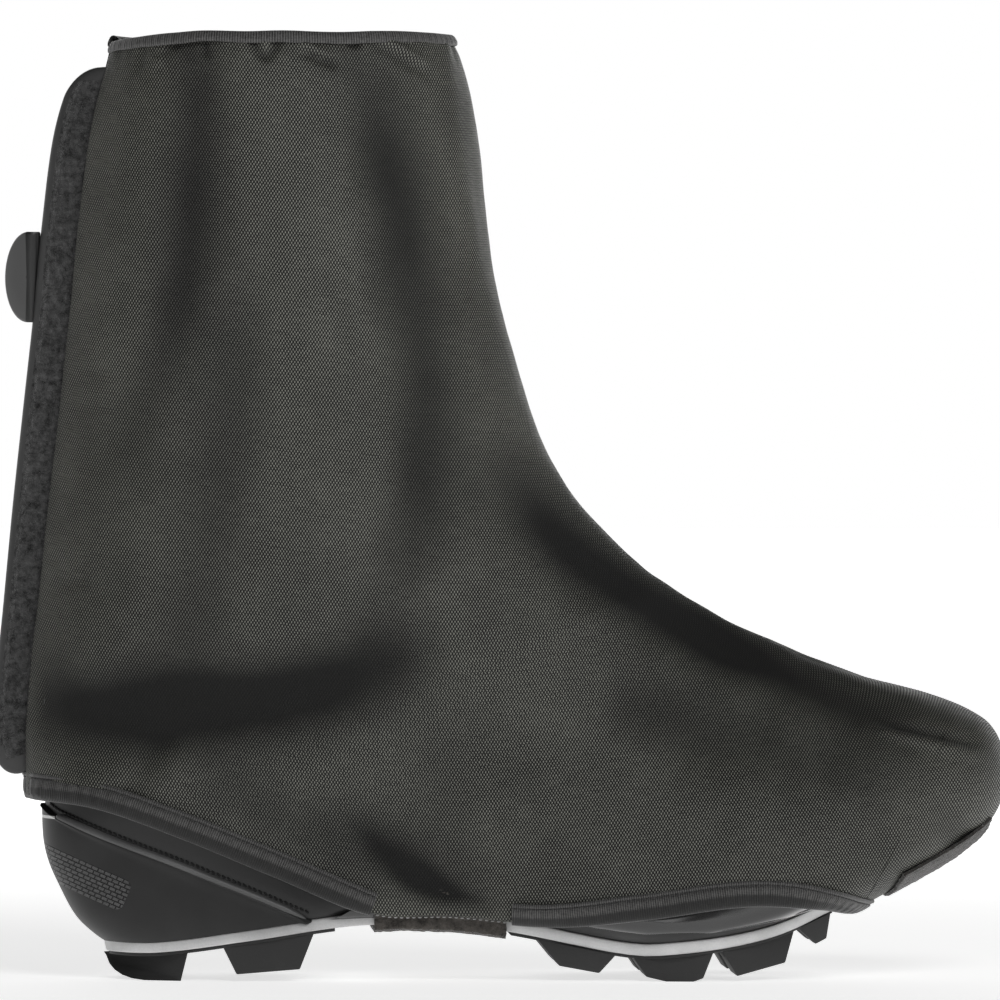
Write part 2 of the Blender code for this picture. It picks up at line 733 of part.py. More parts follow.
def make_tab():
    """Half-round pull tab that stands out of the closure beside the tape."""
    place = min((index / 100 for index in range(200, 600)),
                key=lambda at: abs(section(at, False)[2].y - TAB_HEIGHT))
    crest = closure_profile(place)[TAB_COLUMN]
    middle = crest - Vector((4 * GAP + TAPE_WALL + TAB_WALL / 2, TAB_SIDE, 0))
    out = Vector((-math.cos(TAB_TURN), math.sin(TAB_TURN), 0))
    rim_points = [middle + Vector((0, 0, TAB_RADIUS))]
    steps = 14
    for index in range(steps + 1):
        angle = math.pi / 2 - math.pi * index / steps
        reach = out * (TAB_OUT + TAB_RADIUS * math.cos(angle))
        rim_points.append(middle + reach + Vector((0, 0, TAB_RADIUS * math.sin(angle))))
    rim_points.append(middle - Vector((0, 0, TAB_RADIUS)))
    side = out.cross(Vector((0, 0, 1))) * (TAB_WALL / 2)
    build = bmesh.new()
    front_face = [build.verts.new(point + side) for point in rim_points]
    rear_face = [build.verts.new(point - side) for point in rim_points]
    build.faces.new(front_face)
    build.faces.new(rear_face[::-1])
    count = len(rim_points)
    for index in range(count):
        follow = (index + 1) % count
        build.faces.new((front_face[follow], front_face[index], rear_face[index], rear_face[follow]))
    bmesh.ops.recalc_face_normals(build, faces=build.faces)
    mesh = bpy.data.meshes.new("pull_tab")
    build.to_mesh(mesh)
    build.free()
    return add_object("pull_tab", mesh, finish_material("tab_rubber"))


# Shoe inside

def seat_line(x):
    """Height of the shoe upper's lower edge, just above the plate."""
    return feather_line(x) + SHOE_SEAT


SHOE_HEEL = meeting(seat_line, 11.0, 13.5, -SHOE_DEPTH, True)


def shoe_end(place):
    """Turn at which the shoe's upper ends on the plate."""
    return crossing(place, seat_line, -SHOE_DEPTH, True)


def topline(turn):
    """Place of the shoe's collar edge: high at the heel and the tongue, dipped at the ankle."""
    angle = abs(turn)
    front_share = (1 + math.cos(angle)) / 2
    return TOPLINE_HEEL + TOPLINE_FRONT * front_share + TOPLINE_DIP * math.sin(angle) ** 2


def make_shoe_upper():
    """Hollow upper of the shoe, open at the ankle and underneath."""
    collar_rows = (0.0, 0.06, 0.2, 0.4, 0.6, 0.75, 0.88)
    toe_end = meeting(seat_line, TOE, TOE - 3.5, -SHOE_DEPTH, True)
    sole_places = rim_places(SHOE_HEEL, toe_end)
    grids = []
    for side in (-1, 1):
        rows = []
        cores = []
        for share in collar_rows:
            row = []
            for turn in even_turns(9.0, SHOE_COLUMNS, True):
                place = topline(turn) + (SHOE_HEEL - topline(turn)) * share
                row.append(surface(place, side * turn, -SHOE_DEPTH, True))
            rows.append(row)
            middle = topline(math.pi / 2)
            cores.append(core_point(middle + (SHOE_HEEL - middle) * share, True))
        for place in (*sole_places, (toe_end + TOE) / 2, float(TOE)):
            turns = kept_turns(place, 0.0, shoe_end(place), SHOE_COLUMNS, True)
            rows.append([surface(place, side * turn, -SHOE_DEPTH, True) for turn in turns])
            cores.append(core_point(place, True))
        grids.append((rows, cores))
    return sheet("shoe_upper", grids, SHOE_WALL, False, finish_material("shoe_synthetic"))


def make_counter():
    """Raised heel panel with its diagonal upper edge, round the back of the shoe."""
    depth = COUNTER_SEAT - SHOE_DEPTH

    def lower(place):
        return crossing(place, lambda x: feather_line(x) + 2 * GAP, depth, True)

    def upper(place):
        return min(crossing(place, counter_line, depth, True), lower(place))

    start = meeting(counter_line, 8.6, 10.5, depth, True)
    end = start + 1.0
    while lower(end) - upper(end) > 0.012:
        end += 0.05
    shares = (0.0, 0.02, 0.06, 0.13, 0.22, 0.32, 0.42, 0.52, 0.62, 0.72, 0.84, 0.93)
    places = [start + (end - start) * share for share in shares]
    heel = meeting(lambda x: feather_line(x) + 2 * GAP, 11.0, 13.5, depth, True)
    places = sorted(places + [heel, heel + 0.06])
    grids = half_grids(places, upper, lower, SHOE_COLUMNS, depth, True)
    return sheet("heel_counter", grids, COUNTER_WALL, True, finish_material("counter_synthetic"))


def rim_places(heel, toe):
    """Places along the sole's outline, closer at its round ends."""
    first = heel + 0.9
    span = toe - 0.6 - first
    middle = [first + span * index / SOLE_STEPS for index in range(SOLE_STEPS + 1)]
    return [*(heel + step for step in (0.0, 0.03, 0.12, 0.3, 0.55)), *middle,
            *(toe - step for step in (0.3, 0.12, 0.03, 0.0))]


def rim(offset, line):
    """Pairs of near and far points where the form, moved by offset, meets a side line."""
    heel = meeting(line, 11.0, 13.8, offset, True)
    toe = meeting(line, TOE, TOE - 3.5, offset, True)
    pairs = []
    for place in rim_places(heel, toe):
        turn = math.pi if place in (heel, toe) else crossing(place, line, offset, True)
        near = surface(place, -turn, offset, True)
        far = surface(place, turn, offset, True)
        if turn == math.pi:
            near = far = (near + far) / 2
        pairs.append((near, far))
    return pairs


def pull_in(pairs, margin):
    """Rim pairs moved in from the outline by margin."""
    result = []
    last = len(pairs) - 1
    for index, (near, far) in enumerate(pairs):
        if index in (0, last):
            shift = Vector((margin if index == 0 else -margin, 0, 0))
            result.append((near + shift, far + shift))
            continue
        moved = []
        for side, point in ((0, near), (1, far)):
            ahead = pairs[index + 1][side] - pairs[index - 1][side]
            inward = Vector((-ahead.y, ahead.x, 0)).normalized() * (1 if side == 0 else -1)
            moved.append(point + inward * margin)
        if moved[1].y - moved[0].y > margin:
            result.append(tuple(moved))
    return result


def moved(pairs, height):
    """Rim pairs moved up by height."""
    shift = Vector((0, 0, height))
    return [(near + shift, far + shift) for near, far in pairs]


def rim_at(pairs, x):
    """Near and far rim points at x, read from the pairs."""
    for before, after in zip(pairs, pairs[1:]):
        if before[0].x <= x <= after[0].x:
            share = (x - before[0].x) / (after[0].x - before[0].x)
            return before[0].lerp(after[0], share), before[1].lerp(after[1], share)
    return pairs[0] if x < pairs[0][0].x else pairs[-1]


def stretch(pairs, start, end):
    """Rim pairs between two x values with exact ends."""
    kept = [rim_at(pairs, start)] if start > pairs[0][0].x else []
    kept += [pair for pair in pairs if start < pair[0].x < end]
    if end < pairs[-1][0].x:
        kept.append(rim_at(pairs, end))
    return kept


def lug_body(build, outline, pairs, side):
    """One lug: its side outline pushed from the rim in to the channel, narrower towards the ground."""
    outer = []
    inner = []
    for station in outline:
        x = station.x * LENGTH
        z = level(station.z)
        near, far = rim_at(pairs, x)
        base = near.z - BASE_THICKNESS
        depth = max(base - z, 0.0)
        edge = near if side < 0 else far
        middle = (near.y + far.y) / 2
        reach = abs(edge.y - middle) - depth * LUG_TAPER
        core = min(CHANNEL_HALF + depth * LUG_TAPER, reach * 0.5)
        height = z if depth > 0 else base + LUG_SINK
        outer.append(build.verts.new((x, middle + side * reach, height)))
        inner.append(build.verts.new((x, middle + side * core, height)))
    count = len(outline)
    build.faces.new(outer)
    build.faces.new(inner[::-1])
    for index in range(count):
        follow = (index + 1) % count
        build.faces.new((outer[follow], outer[index], inner[index], inner[follow]))


def make_outsole(name, pairs, start, end, lugs, material):
    """Rubber sheet under the plate with its lugs fused on."""
    upper = stretch(pairs, start, end)
    base = slab(name, upper, moved(upper, -BASE_THICKNESS), material)
    build = bmesh.new()
    for outline in lugs:
        for side in (-1, 1):
            lug_body(build, outline, pairs, side)
    bmesh.ops.recalc_face_normals(build, faces=build.faces)
    bmesh.ops.triangulate(build, faces=build.faces)
    mesh = bpy.data.meshes.new(name + "_lugs")
    build.to_mesh(mesh)
    build.free()
    tool = add_object(name + "_lugs", mesh, material)
    tool.hide_render = True
    tool.display_type = "WIRE"
    join = base.modifiers.new("lugs", "BOOLEAN")
    join.operation = "UNION"
    join.object = tool
    return base


def make_sole():
    """Plate, outsoles and insole, all from the rim where the upper meets the sole."""
    plate_top = rim(-SHOE_DEPTH + PLATE_LIP, feather_line)
    plate_under = rim(-PLATE_UNDER_DEPTH, lambda x: feather_line(x) - PLATE_THICKNESS)
    slab("midsole_plate", plate_top, plate_under, finish_material("plate_plastic"))
    base_top = moved(pull_in(plate_under, BASE_MARGIN), -GAP)
    rubber = finish_material("sole_rubber")
    make_outsole("outsole_heel", base_top, 0.0, HEEL_BASE_END, HEEL_LUGS, rubber)
    make_outsole("outsole_front", base_top, FRONT_BASE_START, FRONT_BASE_END, FRONT_LUGS, rubber)
    insole = moved(pull_in(plate_top, INSOLE_MARGIN), SEAT)
    slab("insole", moved(insole, INSOLE_THICKNESS), insole, finish_material("insole_foam"))
    return plate_top, plate_under


def make_strap(plate_top, plate_under):
    """Strap from inside the hem down round the plate and up the other side."""
    places = [index / 4 for index in range(4 * 11, 4 * 21)]
    turns = [math.pi * index / 40 for index in range(-40, 41)]
    points = [surface(place, turn, 2 * SEAT - SHOE_DEPTH, True) for place in places for turn in turns]
    width = len(turns)
    quads = [(row * width + column, row * width + column + 1,
              (row + 1) * width + column + 1, (row + 1) * width + column)
             for row in range(len(places) - 1) for column in range(width - 1)]
    tree = BVHTree.FromPolygons(points, quads)
    rows = []
    cores = []
    steps = 5
    for index in range(steps + 1):
        x = STRAP_FRONT - STRAP_WIDTH + STRAP_WIDTH * index / steps
        near, far = rim_at(plate_top, x)
        low = rim_at(plate_under, x)
        top = hem_line(x) + STRAP_TUCK
        bottom = min(low[0].z, low[1].z) - 2 * SEAT
        row = []
        for side, edge, corner in ((-1, near, low[0]), (1, far, low[1])):
            arm = []
            for share in (0.0, 0.35, 0.7, 1.0):
                height = top + (near.z + STRAP_WALL - top) * share
                arm.append(tree.ray_cast(Vector((x, side, height)), Vector((0, -side, 0)))[0])
            outer = max(abs(edge.y), abs(corner.y)) + SEAT
            arm.append(Vector((x, side * outer, near.z - STRAP_SHOULDER)))
            arm.append(Vector((x, side * (abs(corner.y) + SEAT), bottom + SEAT)))
            arm.append(Vector((x, side * (abs(corner.y) - SEAT), bottom)))
            arm.append(Vector((x, corner.y * 0.55, bottom)))
            row += arm if side < 0 else arm[::-1]
        rows.append(row)
        cores.append(Vector((x, (near.y + far.y) / 2, near.z)))
    return sheet("underfoot_strap", [(rows, cores)], STRAP_WALL, True, finish_material("strap_web"))


def settle_origin():
    """Put the frame's origin under the middle of the whole part's box."""
    bpy.context.view_layer.update()
    graph = bpy.context.evaluated_depsgraph_get()
    corners = []
    for piece in bpy.data.objects:
        if piece.type == "MESH" and not piece.hide_render:
            ready = piece.evaluated_get(graph)
            corners += [ready.matrix_world @ Vector(corner) for corner in ready.bound_box]
    for axis in (0, 1):
        values = [corner[axis] for corner in corners]
        frame.location[axis] = -(min(values) + max(values)) / 2


for thing in list(bpy.data.objects):
    bpy.data.objects.remove(thing)
frame = bpy.data.objects.new("overshoe", None)
bpy.context.scene.collection.objects.link(frame)

cover_tree = face_tree(make_cover())
make_collar_binding(cover_tree)
make_hem_bindings(cover_tree)
make_toe_guard()
make_flap()
make_tape()
make_tab()
make_shoe_upper()
make_counter()
make_strap(*make_sole())
settle_origin()
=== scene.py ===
"""Looks of a winter cycling overshoe on its shoe: cloth, elastic, tape, rubber, light and camera.

Every visible piece is drawn from the same sections of the last as the solids. Metres, toe towards +X,
outer side of the foot towards -Y.
"""

import math
import random
from collections import namedtuple
from functools import lru_cache

import bmesh
import bpy
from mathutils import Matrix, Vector, noise


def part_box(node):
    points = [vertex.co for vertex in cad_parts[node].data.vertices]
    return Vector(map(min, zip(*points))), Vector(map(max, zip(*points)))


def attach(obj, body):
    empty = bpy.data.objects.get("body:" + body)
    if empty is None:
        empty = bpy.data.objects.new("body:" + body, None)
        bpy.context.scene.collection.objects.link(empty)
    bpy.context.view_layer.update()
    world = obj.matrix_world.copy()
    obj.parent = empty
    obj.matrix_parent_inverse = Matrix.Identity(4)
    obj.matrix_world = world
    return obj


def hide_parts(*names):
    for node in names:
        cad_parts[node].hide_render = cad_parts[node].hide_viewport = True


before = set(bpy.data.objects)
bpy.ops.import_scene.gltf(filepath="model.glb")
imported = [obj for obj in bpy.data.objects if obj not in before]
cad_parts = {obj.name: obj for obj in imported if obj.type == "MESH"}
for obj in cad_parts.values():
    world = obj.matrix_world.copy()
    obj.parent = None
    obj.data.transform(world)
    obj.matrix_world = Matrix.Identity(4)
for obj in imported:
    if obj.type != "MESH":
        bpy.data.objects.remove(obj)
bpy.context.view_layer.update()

MM = 0.001
WELD = 0.000005

# Driving sizes of the worn overshoe, as in the solids
LENGTH = 0.299
HEIGHT = 0.291
INSTEP_HEIGHT = 0.1225
HEEL_HEIGHT = 0.0124
BALL_HALF = 0.052
HEEL_SHARE = 0.0426
INSTEP_SHARE = 0.421

COVER_WALL = 0.0015
SLOT_HALF = 0.010
FLAP_DEPTH = 0.0036
FLAP_WALL = 0.0012
FLAP_BULGE = 0.009
FLAP_TUCK = 0.007
FLAP_END_ROUND = 0.010
FLAP_LEAST_HALF = 0.004
SHOE_DEPTH = 0.0059
PLATE_LIP = 0.0004
PLATE_THICKNESS = 0.0037
PLATE_UNDER_DEPTH = 0.0027
BASE_THICKNESS = 0.0014
BASE_MARGIN = 0.0010
LUG_TAPER = 0.22
CHANNEL_HALF = 0.008
STRAP_WIDTH = 0.1355 * LENGTH
STRAP_FRONT = 0.4783 * LENGTH
HEEL_BASE_END = 0.3027 * LENGTH
FRONT_BASE_START = 0.4833 * LENGTH
FRONT_BASE_END = 0.8177 * LENGTH

Section = namedtuple("Section", "front_x front_z back_x back_z half widest top under lean drop slot")

# Sections of the cover from the collar down the leg, round the ankle and out to the toe.
# front and back: where the section plane meets the side outline, shares of length and height.
# half: half width, widest: where along front to back it lies, top and under: how square each part is.
# lean: shift to the inner side, share of half the ball width. drop: how much lower the shoe's instep is.
# slot: half width of the rear opening, share of SLOT_HALF.
SECTIONS = [
    Section(0.4280, 0.9961, 0.0736, 0.9961, 0.673, 0.50, 2.0, 2.0, 0.000, 0.1450, 0.40),
    Section(0.4365, 0.9737, 0.0664, 0.9694, 0.712, 0.50, 2.0, 2.0, 0.000, 0.1450, 0.60),
    Section(0.4520, 0.9066, 0.0456, 0.8959, 0.750, 0.50, 2.0, 2.0, 0.000, 0.1450, 1.00),
    Section(0.4614, 0.8214, 0.0332, 0.8000, 0.769, 0.50, 2.0, 2.0, 0.000, 0.1450, 1.00),
    Section(0.4717, 0.7414, 0.0249, 0.7095, 0.769, 0.50, 2.0, 2.0, 0.000, 0.1450, 1.00),
    Section(0.4894, 0.6637, 0.0145, 0.6136, 0.769, 0.50, 2.0, 2.0, 0.000, 0.1450, 1.00),
    Section(0.5153, 0.5817, 0.0031, 0.5071, 0.760, 0.50, 2.0, 2.1, 0.000, 0.1450, 1.00),
    Section(0.5485, 0.5188, -0.0073, 0.4005, 0.760, 0.50, 2.0, 2.2, 0.000, 0.1450, 1.00),
    Section(0.5879, 0.4719, -0.0176, 0.2940, 0.769, 0.50, 2.0, 2.4, 0.000, 0.1450, 1.00),
    Section(0.6262, 0.4378, -0.0145, 0.2088, 0.779, 0.52, 2.0, 2.3, 0.000, 0.1400, 0.50),
    Section(0.6511, 0.4208, -0.0114, 0.1396, 0.778, 0.55, 2.1, 2.5, 0.000, 0.1240, 0.30),
    Section(0.6739, 0.4059, 0.0052, 0.0916, 0.768, 0.60, 2.1, 2.5, 0.000, 0.1090, 0.30),
    Section(0.6947, 0.3942, 0.0342, 0.0447, 0.762, 0.64, 2.1, 2.6, 0.000, 0.0985, 0.30),
    Section(0.7164, 0.3814, 0.0892, 0.0117, 0.765, 0.68, 2.1, 2.7, -0.010, 0.0880, 0.0),
    Section(0.7403, 0.3686, 0.1804, 0.0064, 0.780, 0.72, 2.1, 2.6, -0.020, 0.0810, 0.0),
    Section(0.7693, 0.3547, 0.2945, 0.0277, 0.775, 0.74, 2.1, 2.6, -0.030, 0.0726, 0.0),
    Section(0.8004, 0.3388, 0.4085, 0.0362, 0.805, 0.76, 2.1, 2.7, -0.030, 0.0643, 0.0),
    Section(0.8357, 0.3260, 0.5277, 0.0224, 0.905, 0.76, 2.1, 2.9, -0.010, 0.0540, 0.0),
    Section(0.8709, 0.3153, 0.6366, 0.0064, 0.990, 0.75, 2.1, 3.1, 0.020, 0.0435, 0.0),
    Section(0.9041, 0.3068, 0.7351, 0.0224, 0.990, 0.72, 2.2, 3.0, 0.050, 0.0330, 0.0),
    Section(0.9352, 0.2972, 0.8129, 0.0575, 0.933, 0.68, 2.2, 2.8, 0.080, 0.0230, 0.0),
    Section(0.9601, 0.2866, 0.8751, 0.0884, 0.827, 0.62, 2.2, 2.6, 0.100, 0.0145, 0.0),
    Section(0.9819, 0.2727, 0.9290, 0.1172, 0.673, 0.57, 2.2, 2.4, 0.115, 0.0080, 0.0),
    Section(0.9953, 0.2546, 0.9663, 0.1427, 0.500, 0.53, 2.1, 2.2, 0.125, 0.0030, 0.0),
    Section(1.0026, 0.2301, 0.9912, 0.1715, 0.288, 0.50, 2.0, 2.0, 0.130, 0.0, 0.0),
    Section(1.0041, 0.2013, 1.0041, 0.2013, 0.0, 0.50, 2.0, 2.0, 0.130, 0.0, 0.0),
]
TOE = len(SECTIONS) - 1

Station = namedtuple("Station", "x z")

HEM = [
    Station(-0.0124, 0.1950), Station(0.0601, 0.1854), Station(0.1472, 0.1545), Station(0.2405, 0.1151),
    Station(0.3421, 0.0735), Station(0.4209, 0.0703), Station(0.5236, 0.0618), Station(0.6190, 0.0703),
    Station(0.7216, 0.0842), Station(0.7983, 0.0799), Station(0.8357, 0.0724),
]
FEATHER = [
    Station(0.0591, 0.0426), Station(0.1213, 0.0426), Station(0.2115, 0.0554), Station(0.3204, 0.0714),
    Station(0.4085, 0.0724), Station(0.4811, 0.0650), Station(0.5910, 0.0426), Station(0.6366, 0.0400),
    Station(0.7507, 0.0586), Station(0.8543, 0.1023), Station(0.9373, 0.1502), Station(0.9840, 0.1930),
]
COUNTER_EDGE = [
    Station(0.0000, 0.1910), Station(0.0218, 0.1720), Station(0.2100, 0.0960), Station(0.2830, 0.0640),
]

# The first and last stations of a lug lie inside the sole
INSIDE = 0.15
HEEL_LUGS = [
    [Station(0.0665, INSIDE), Station(0.0688, 0.0240), Station(0.0722, 0.0150), Station(0.0775, 0.0098),
     Station(0.0850, 0.0050), Station(0.0950, 0.0017), Station(0.1080, 0.0),
     Station(0.1452, 0.0), Station(0.1524, INSIDE)],
    [Station(0.1882, INSIDE), Station(0.2022, 0.0075), Station(0.2669, 0.0131), Station(0.2812, INSIDE)],
]
FRONT_LUGS = [
    [Station(0.5101, INSIDE), Station(0.5329, 0.0160), Station(0.5741, 0.0081), Station(0.5910, INSIDE)],
    [Station(0.6083, INSIDE), Station(0.6221, 0.0046), Station(0.6420, 0.0), Station(0.6700, 0.0),
     Station(0.6798, 0.0036), Station(0.6900, INSIDE)],
    [Station(0.6990, INSIDE), Station(0.7149, 0.0053), Station(0.7662, 0.0184), Station(0.7755, INSIDE)],
    [Station(0.7802, INSIDE), Station(0.8000, 0.0362), Station(0.8120, 0.0420), Station(0.8160, INSIDE)],
]


# Shape of the last

def smooth(values, place):
    """Value at a place along evenly spaced values, on a smooth curve through them."""
    first = min(max(int(place), 0), len(values) - 2)
    share = place - first
    before = values[max(first - 1, 0)]
    start = values[first]
    end = values[first + 1]
    after = values[min(first + 2, len(values) - 1)]
    bend = 2 * before - 5 * start + 4 * end - after
    twist = 3 * (start - end) + after - before
    return start + 0.5 * share * (end - before + share * (bend + share * twist))


def level(share):
    """Height of a table share: heel, instep and collar heights each set their own stretch."""
    knots = [(0.0, 0.0), (HEEL_SHARE, HEEL_HEIGHT), (INSTEP_SHARE, INSTEP_HEIGHT), (1.0, HEIGHT)]
    upper = 1
    while upper < len(knots) - 1 and share > knots[upper][0]:
        upper += 1
    low_share, low = knots[upper - 1]
    high_share, high = knots[upper]
    return low + (share - low_share) / (high_share - low_share) * (high - low)


def side_line(stations):
    """Height as a smooth function of x through the stations of a table."""
    xs = [station.x * LENGTH for station in stations]
    zs = [level(station.z) for station in stations]
    last = len(xs) - 1

    def slope(index):
        low = max(index - 1, 0)
        high = min(index + 1, last)
        return (zs[high] - zs[low]) / (xs[high] - xs[low])

    def height(x):
        x = min(max(x, xs[0]), xs[-1])
        index = 0
        while index < last - 1 and x > xs[index + 1]:
            index += 1
        span = xs[index + 1] - xs[index]
        share = (x - xs[index]) / span
        rest = 1 - share
        return (zs[index] * rest * rest * (1 + 2 * share) + zs[index + 1] * share * share * (1 + 2 * rest)
                + span * share * rest * (slope(index) * rest - slope(index + 1) * share))

    return height


@lru_cache(maxsize=None)
def section(place, dropped):
    """Interpolated section with its front and back points; dropped gives the shoe's lower instep."""
    row = Section(*(smooth(column, place) for column in zip(*SECTIONS)))
    front = Vector((row.front_x * LENGTH, level(row.front_z)))
    back = Vector((row.back_x * LENGTH, level(row.back_z)))
    if dropped:
        down = back - front
        if down.length > 0:
            front += down.normalized() * min(max(row.drop, 0.0) * LENGTH, down.length)
    return row, front, back


def form_point(place, turn, dropped=False):
    """Point of the outer form at a turn: 0 in front, pi or -pi at the back, negative on the outer side."""
    if abs(turn) > math.pi:
        turn -= math.copysign(2 * math.pi, turn)
    row, front, back = section(place, dropped)
    angle = abs(turn)
    if angle <= math.pi / 2:
        along = row.widest * (1 - max(math.cos(angle), 0.0) ** (2 / row.top))
        across = math.sin(angle) ** (2 / row.top)
    else:
        along = row.widest + (1 - row.widest) * max(-math.cos(angle), 0.0) ** (2 / row.under)
        across = max(math.sin(angle), 0.0) ** (2 / row.under)
    spot = front.lerp(back, along)
    half = max(row.half, 0.0) * BALL_HALF
    return Vector((spot.x, row.lean * BALL_HALF + math.copysign(half * across, turn), spot.y))


def core_point(place, dropped=False):
    """Middle of a section, which every outer face looks away from."""
    row, front, back = section(place, dropped)
    spot = front.lerp(back, 0.5)
    return Vector((spot.x, row.lean * BALL_HALF, spot.y))


def form_normal(place, turn, dropped=False):
    """Outward normal of the form."""
    step = 0.02
    if place > TOE - step:
        return (core_point(TOE) - core_point(TOE - 1)).normalized()
    down = form_point(min(place + step, TOE), turn, dropped) - form_point(max(place - step, 0), turn, dropped)
    around = form_point(place, turn + step, dropped) - form_point(place, turn - step, dropped)
    normal = down.cross(around).normalized()
    if normal.dot(form_point(place, turn, dropped) - core_point(place, dropped)) < 0:
        normal.negate()
    return normal


def surface(place, turn, offset=0.0, dropped=False):
    """Point at a distance outside (or, negative, inside) the cover's outer form."""
    point = form_point(place, turn, dropped)
    if offset:
        point += form_normal(place, turn, dropped) * offset
    return point


def halve(low, high, stays_low, rounds=26):
    """Value between low and high where a test turns from true to false."""
    for _ in range(rounds):
        middle = (low + high) / 2
        if stays_low(middle):
            low = middle
        else:
            high = middle
    return (low + high) / 2


def crossing(place, line, offset=0.0, dropped=False):
    """Turn where the section passes below a side line, or pi where it never does."""
    def above(turn):
        point = surface(place, turn, offset, dropped)
        return point.z > line(point.x)

    return math.pi if above(math.pi) else halve(0.0, math.pi, above, 22)


def meeting(line, start, end, offset=0.0, dropped=False):
    """Place between start and end where the form's back line meets a side line; it lies above it at start."""
    def above(place):
        point = surface(place, math.pi, offset, dropped)
        return point.z > line(point.x)

    return halve(start, end, above, 30)


hem_line = side_line(HEM)
feather_line = side_line(FEATHER)
counter_line = side_line(COUNTER_EDGE)
HEM_HEEL = meeting(hem_line, 8.0, 11.0)
HEM_TOE = meeting(hem_line, 22.0, 19.0)
SLOT_END = HEM_HEEL - 0.05
SLOT_ROUND = 0.25


def slot_half(place):
    """Half width of the cover's rear opening at a section; its lower end is round."""
    half = max(section(place, False)[0].slot, 0.0) * SLOT_HALF
    past = (place - SLOT_END + SLOT_ROUND) / SLOT_ROUND
    if past <= 0:
        return half
    return half * math.sqrt(max(1 - past * past, 0.0))


def slot_turn(place):
    """Turn at which the cover ends beside its rear opening."""
    row = section(place, False)[0]
    share = slot_half(place) / (row.half * BALL_HALF)
    return math.pi - math.asin(share ** (row.under / 2))


@lru_cache(maxsize=None)
def cover_end(place):
    """Turn at which the cover ends: at the rear opening, at the hem, or not at all beneath the toe."""
    if place >= HEM_TOE:
        return math.pi
    below = crossing(place, hem_line)
    if place < HEM_HEEL + 1:
        return min(below, slot_turn(place))
    return below


def place_at(x, line):
    """Place of the section that meets a side line at x."""
    return halve(HEM_HEEL, HEM_TOE, lambda place: form_point(place, crossing(place, line)).x < x)


# Where the solids' own frame puts the last's origin
SHIFT = Vector((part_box("overshoe_upper")[1][0] - SECTIONS[TOE].front_x * LENGTH,
                (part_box("collar_binding")[0][1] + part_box("collar_binding")[1][1]) / 2, 0.0))


def spread(first, last, count):
    """Evenly spaced values from first to last."""
    return [first + (last - first) * index / (count - 1) for index in range(count)]


def distances(points):
    """Distance travelled along a path at each of its points."""
    travelled = [0.0]
    for before, after in zip(points, points[1:]):
        travelled.append(travelled[-1] + (after - before).length)
    return travelled


def even_stations(travelled, count):
    """For evenly spaced distances, the stretch of a path that each lies on and the share along it."""
    index = 0
    for target in spread(0.0, travelled[-1], count):
        while index < len(travelled) - 2 and travelled[index + 1] < target:
            index += 1
        yield index, (target - travelled[index]) / max(travelled[index + 1] - travelled[index], 1e-9)


def spaced_turns(place, start, end, count, dropped=False):
    """Turns that share out a section's length evenly between two turns."""
    turns = spread(start, end, 61)
    travelled = distances([form_point(place, turn, dropped) for turn in turns])
    if travelled[-1] < 1e-5:
        return spread(start, end, count)
    result = [turns[index] + (turns[index + 1] - turns[index]) * share
              for index, share in even_stations(travelled, count)]
    result[-1] = end
    return result


# Building meshes

def mesh_of(build, name):
    """Finished mesh of a bmesh, which it frees."""
    mesh = bpy.data.meshes.new(name)
    build.to_mesh(mesh)
    build.free()
    return mesh


def piece(name, mesh, material, nodes=()):
    """Object of a finished mesh that rides on the one body and stands for CAD nodes."""
    mesh.materials.append(material)
    mesh.shade_smooth()
    thing = bpy.data.objects.new(name, mesh)
    bpy.context.scene.collection.objects.link(thing)
    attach(thing, "root")
    if nodes:
        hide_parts(*nodes)
    return thing


def grid_mesh(name, rows, cores=None, uvs=None, closed=False, weld=0.0, depths=None, outward=False):
    """Mesh of a grid of points. cores: a point for each row that the faces look away from.

    depths gives each point's share of a full hollow, kept as an attribute for the cloth's painted shade;
    outward turns a body's faces out.
    """
    uvs = uvs or ring_uvs(rows)
    build = bmesh.new()
    # Attribute that carries the cloth's painted shade in hollows
    hollow = build.verts.layers.float.new("hollow") if depths else None
    layer = build.loops.layers.uv.new("cloth")
    vertices = [[build.verts.new(point + SHIFT) for point in row] for row in rows]
    if depths:
        for line, values in zip(vertices, depths):
            for vertex, value in zip(line, values):
                vertex[hollow] = value
    width = len(rows[0])
    columns = width if closed else width - 1
    facing = 0.0
    for index in range(len(rows) - 1):
        for column in range(columns):
            follow = (column + 1) % width
            spots = ((index, column), (index, follow), (index + 1, follow), (index + 1, column))
            face = build.faces.new([vertices[row][at] for row, at in spots])
            for loop, (row, at) in zip(face.loops, spots):
                loop[layer].uv = uvs[row][at]
            if cores and (index * columns + column) % 7 == 0:
                face.normal_update()
                core = (cores[index] + cores[index + 1]) / 2 + SHIFT
                facing += face.normal.dot((face.calc_center_median() - core).normalized())
    if facing < 0:
        bmesh.ops.reverse_faces(build, faces=build.faces)
    if weld:
        bmesh.ops.remove_doubles(build, verts=build.verts, dist=weld)
    if outward:
        bmesh.ops.recalc_face_normals(build, faces=build.faces)
    return mesh_of(build, name)


def ring_uvs(rows):
    """Texture places in millimetres along and across a grid of points."""
    uvs = []
    travelled = 0.0
    for index, row in enumerate(rows):
        if index:
            middle = len(row) // 2
            travelled += (row[middle] - rows[index - 1][middle]).length
        line = [(0.0, travelled / MM)]
        for before, after in zip(row, row[1:]):
            line.append((line[-1][0] + (after - before).length / MM, travelled / MM))
        uvs.append(line)
    return uvs


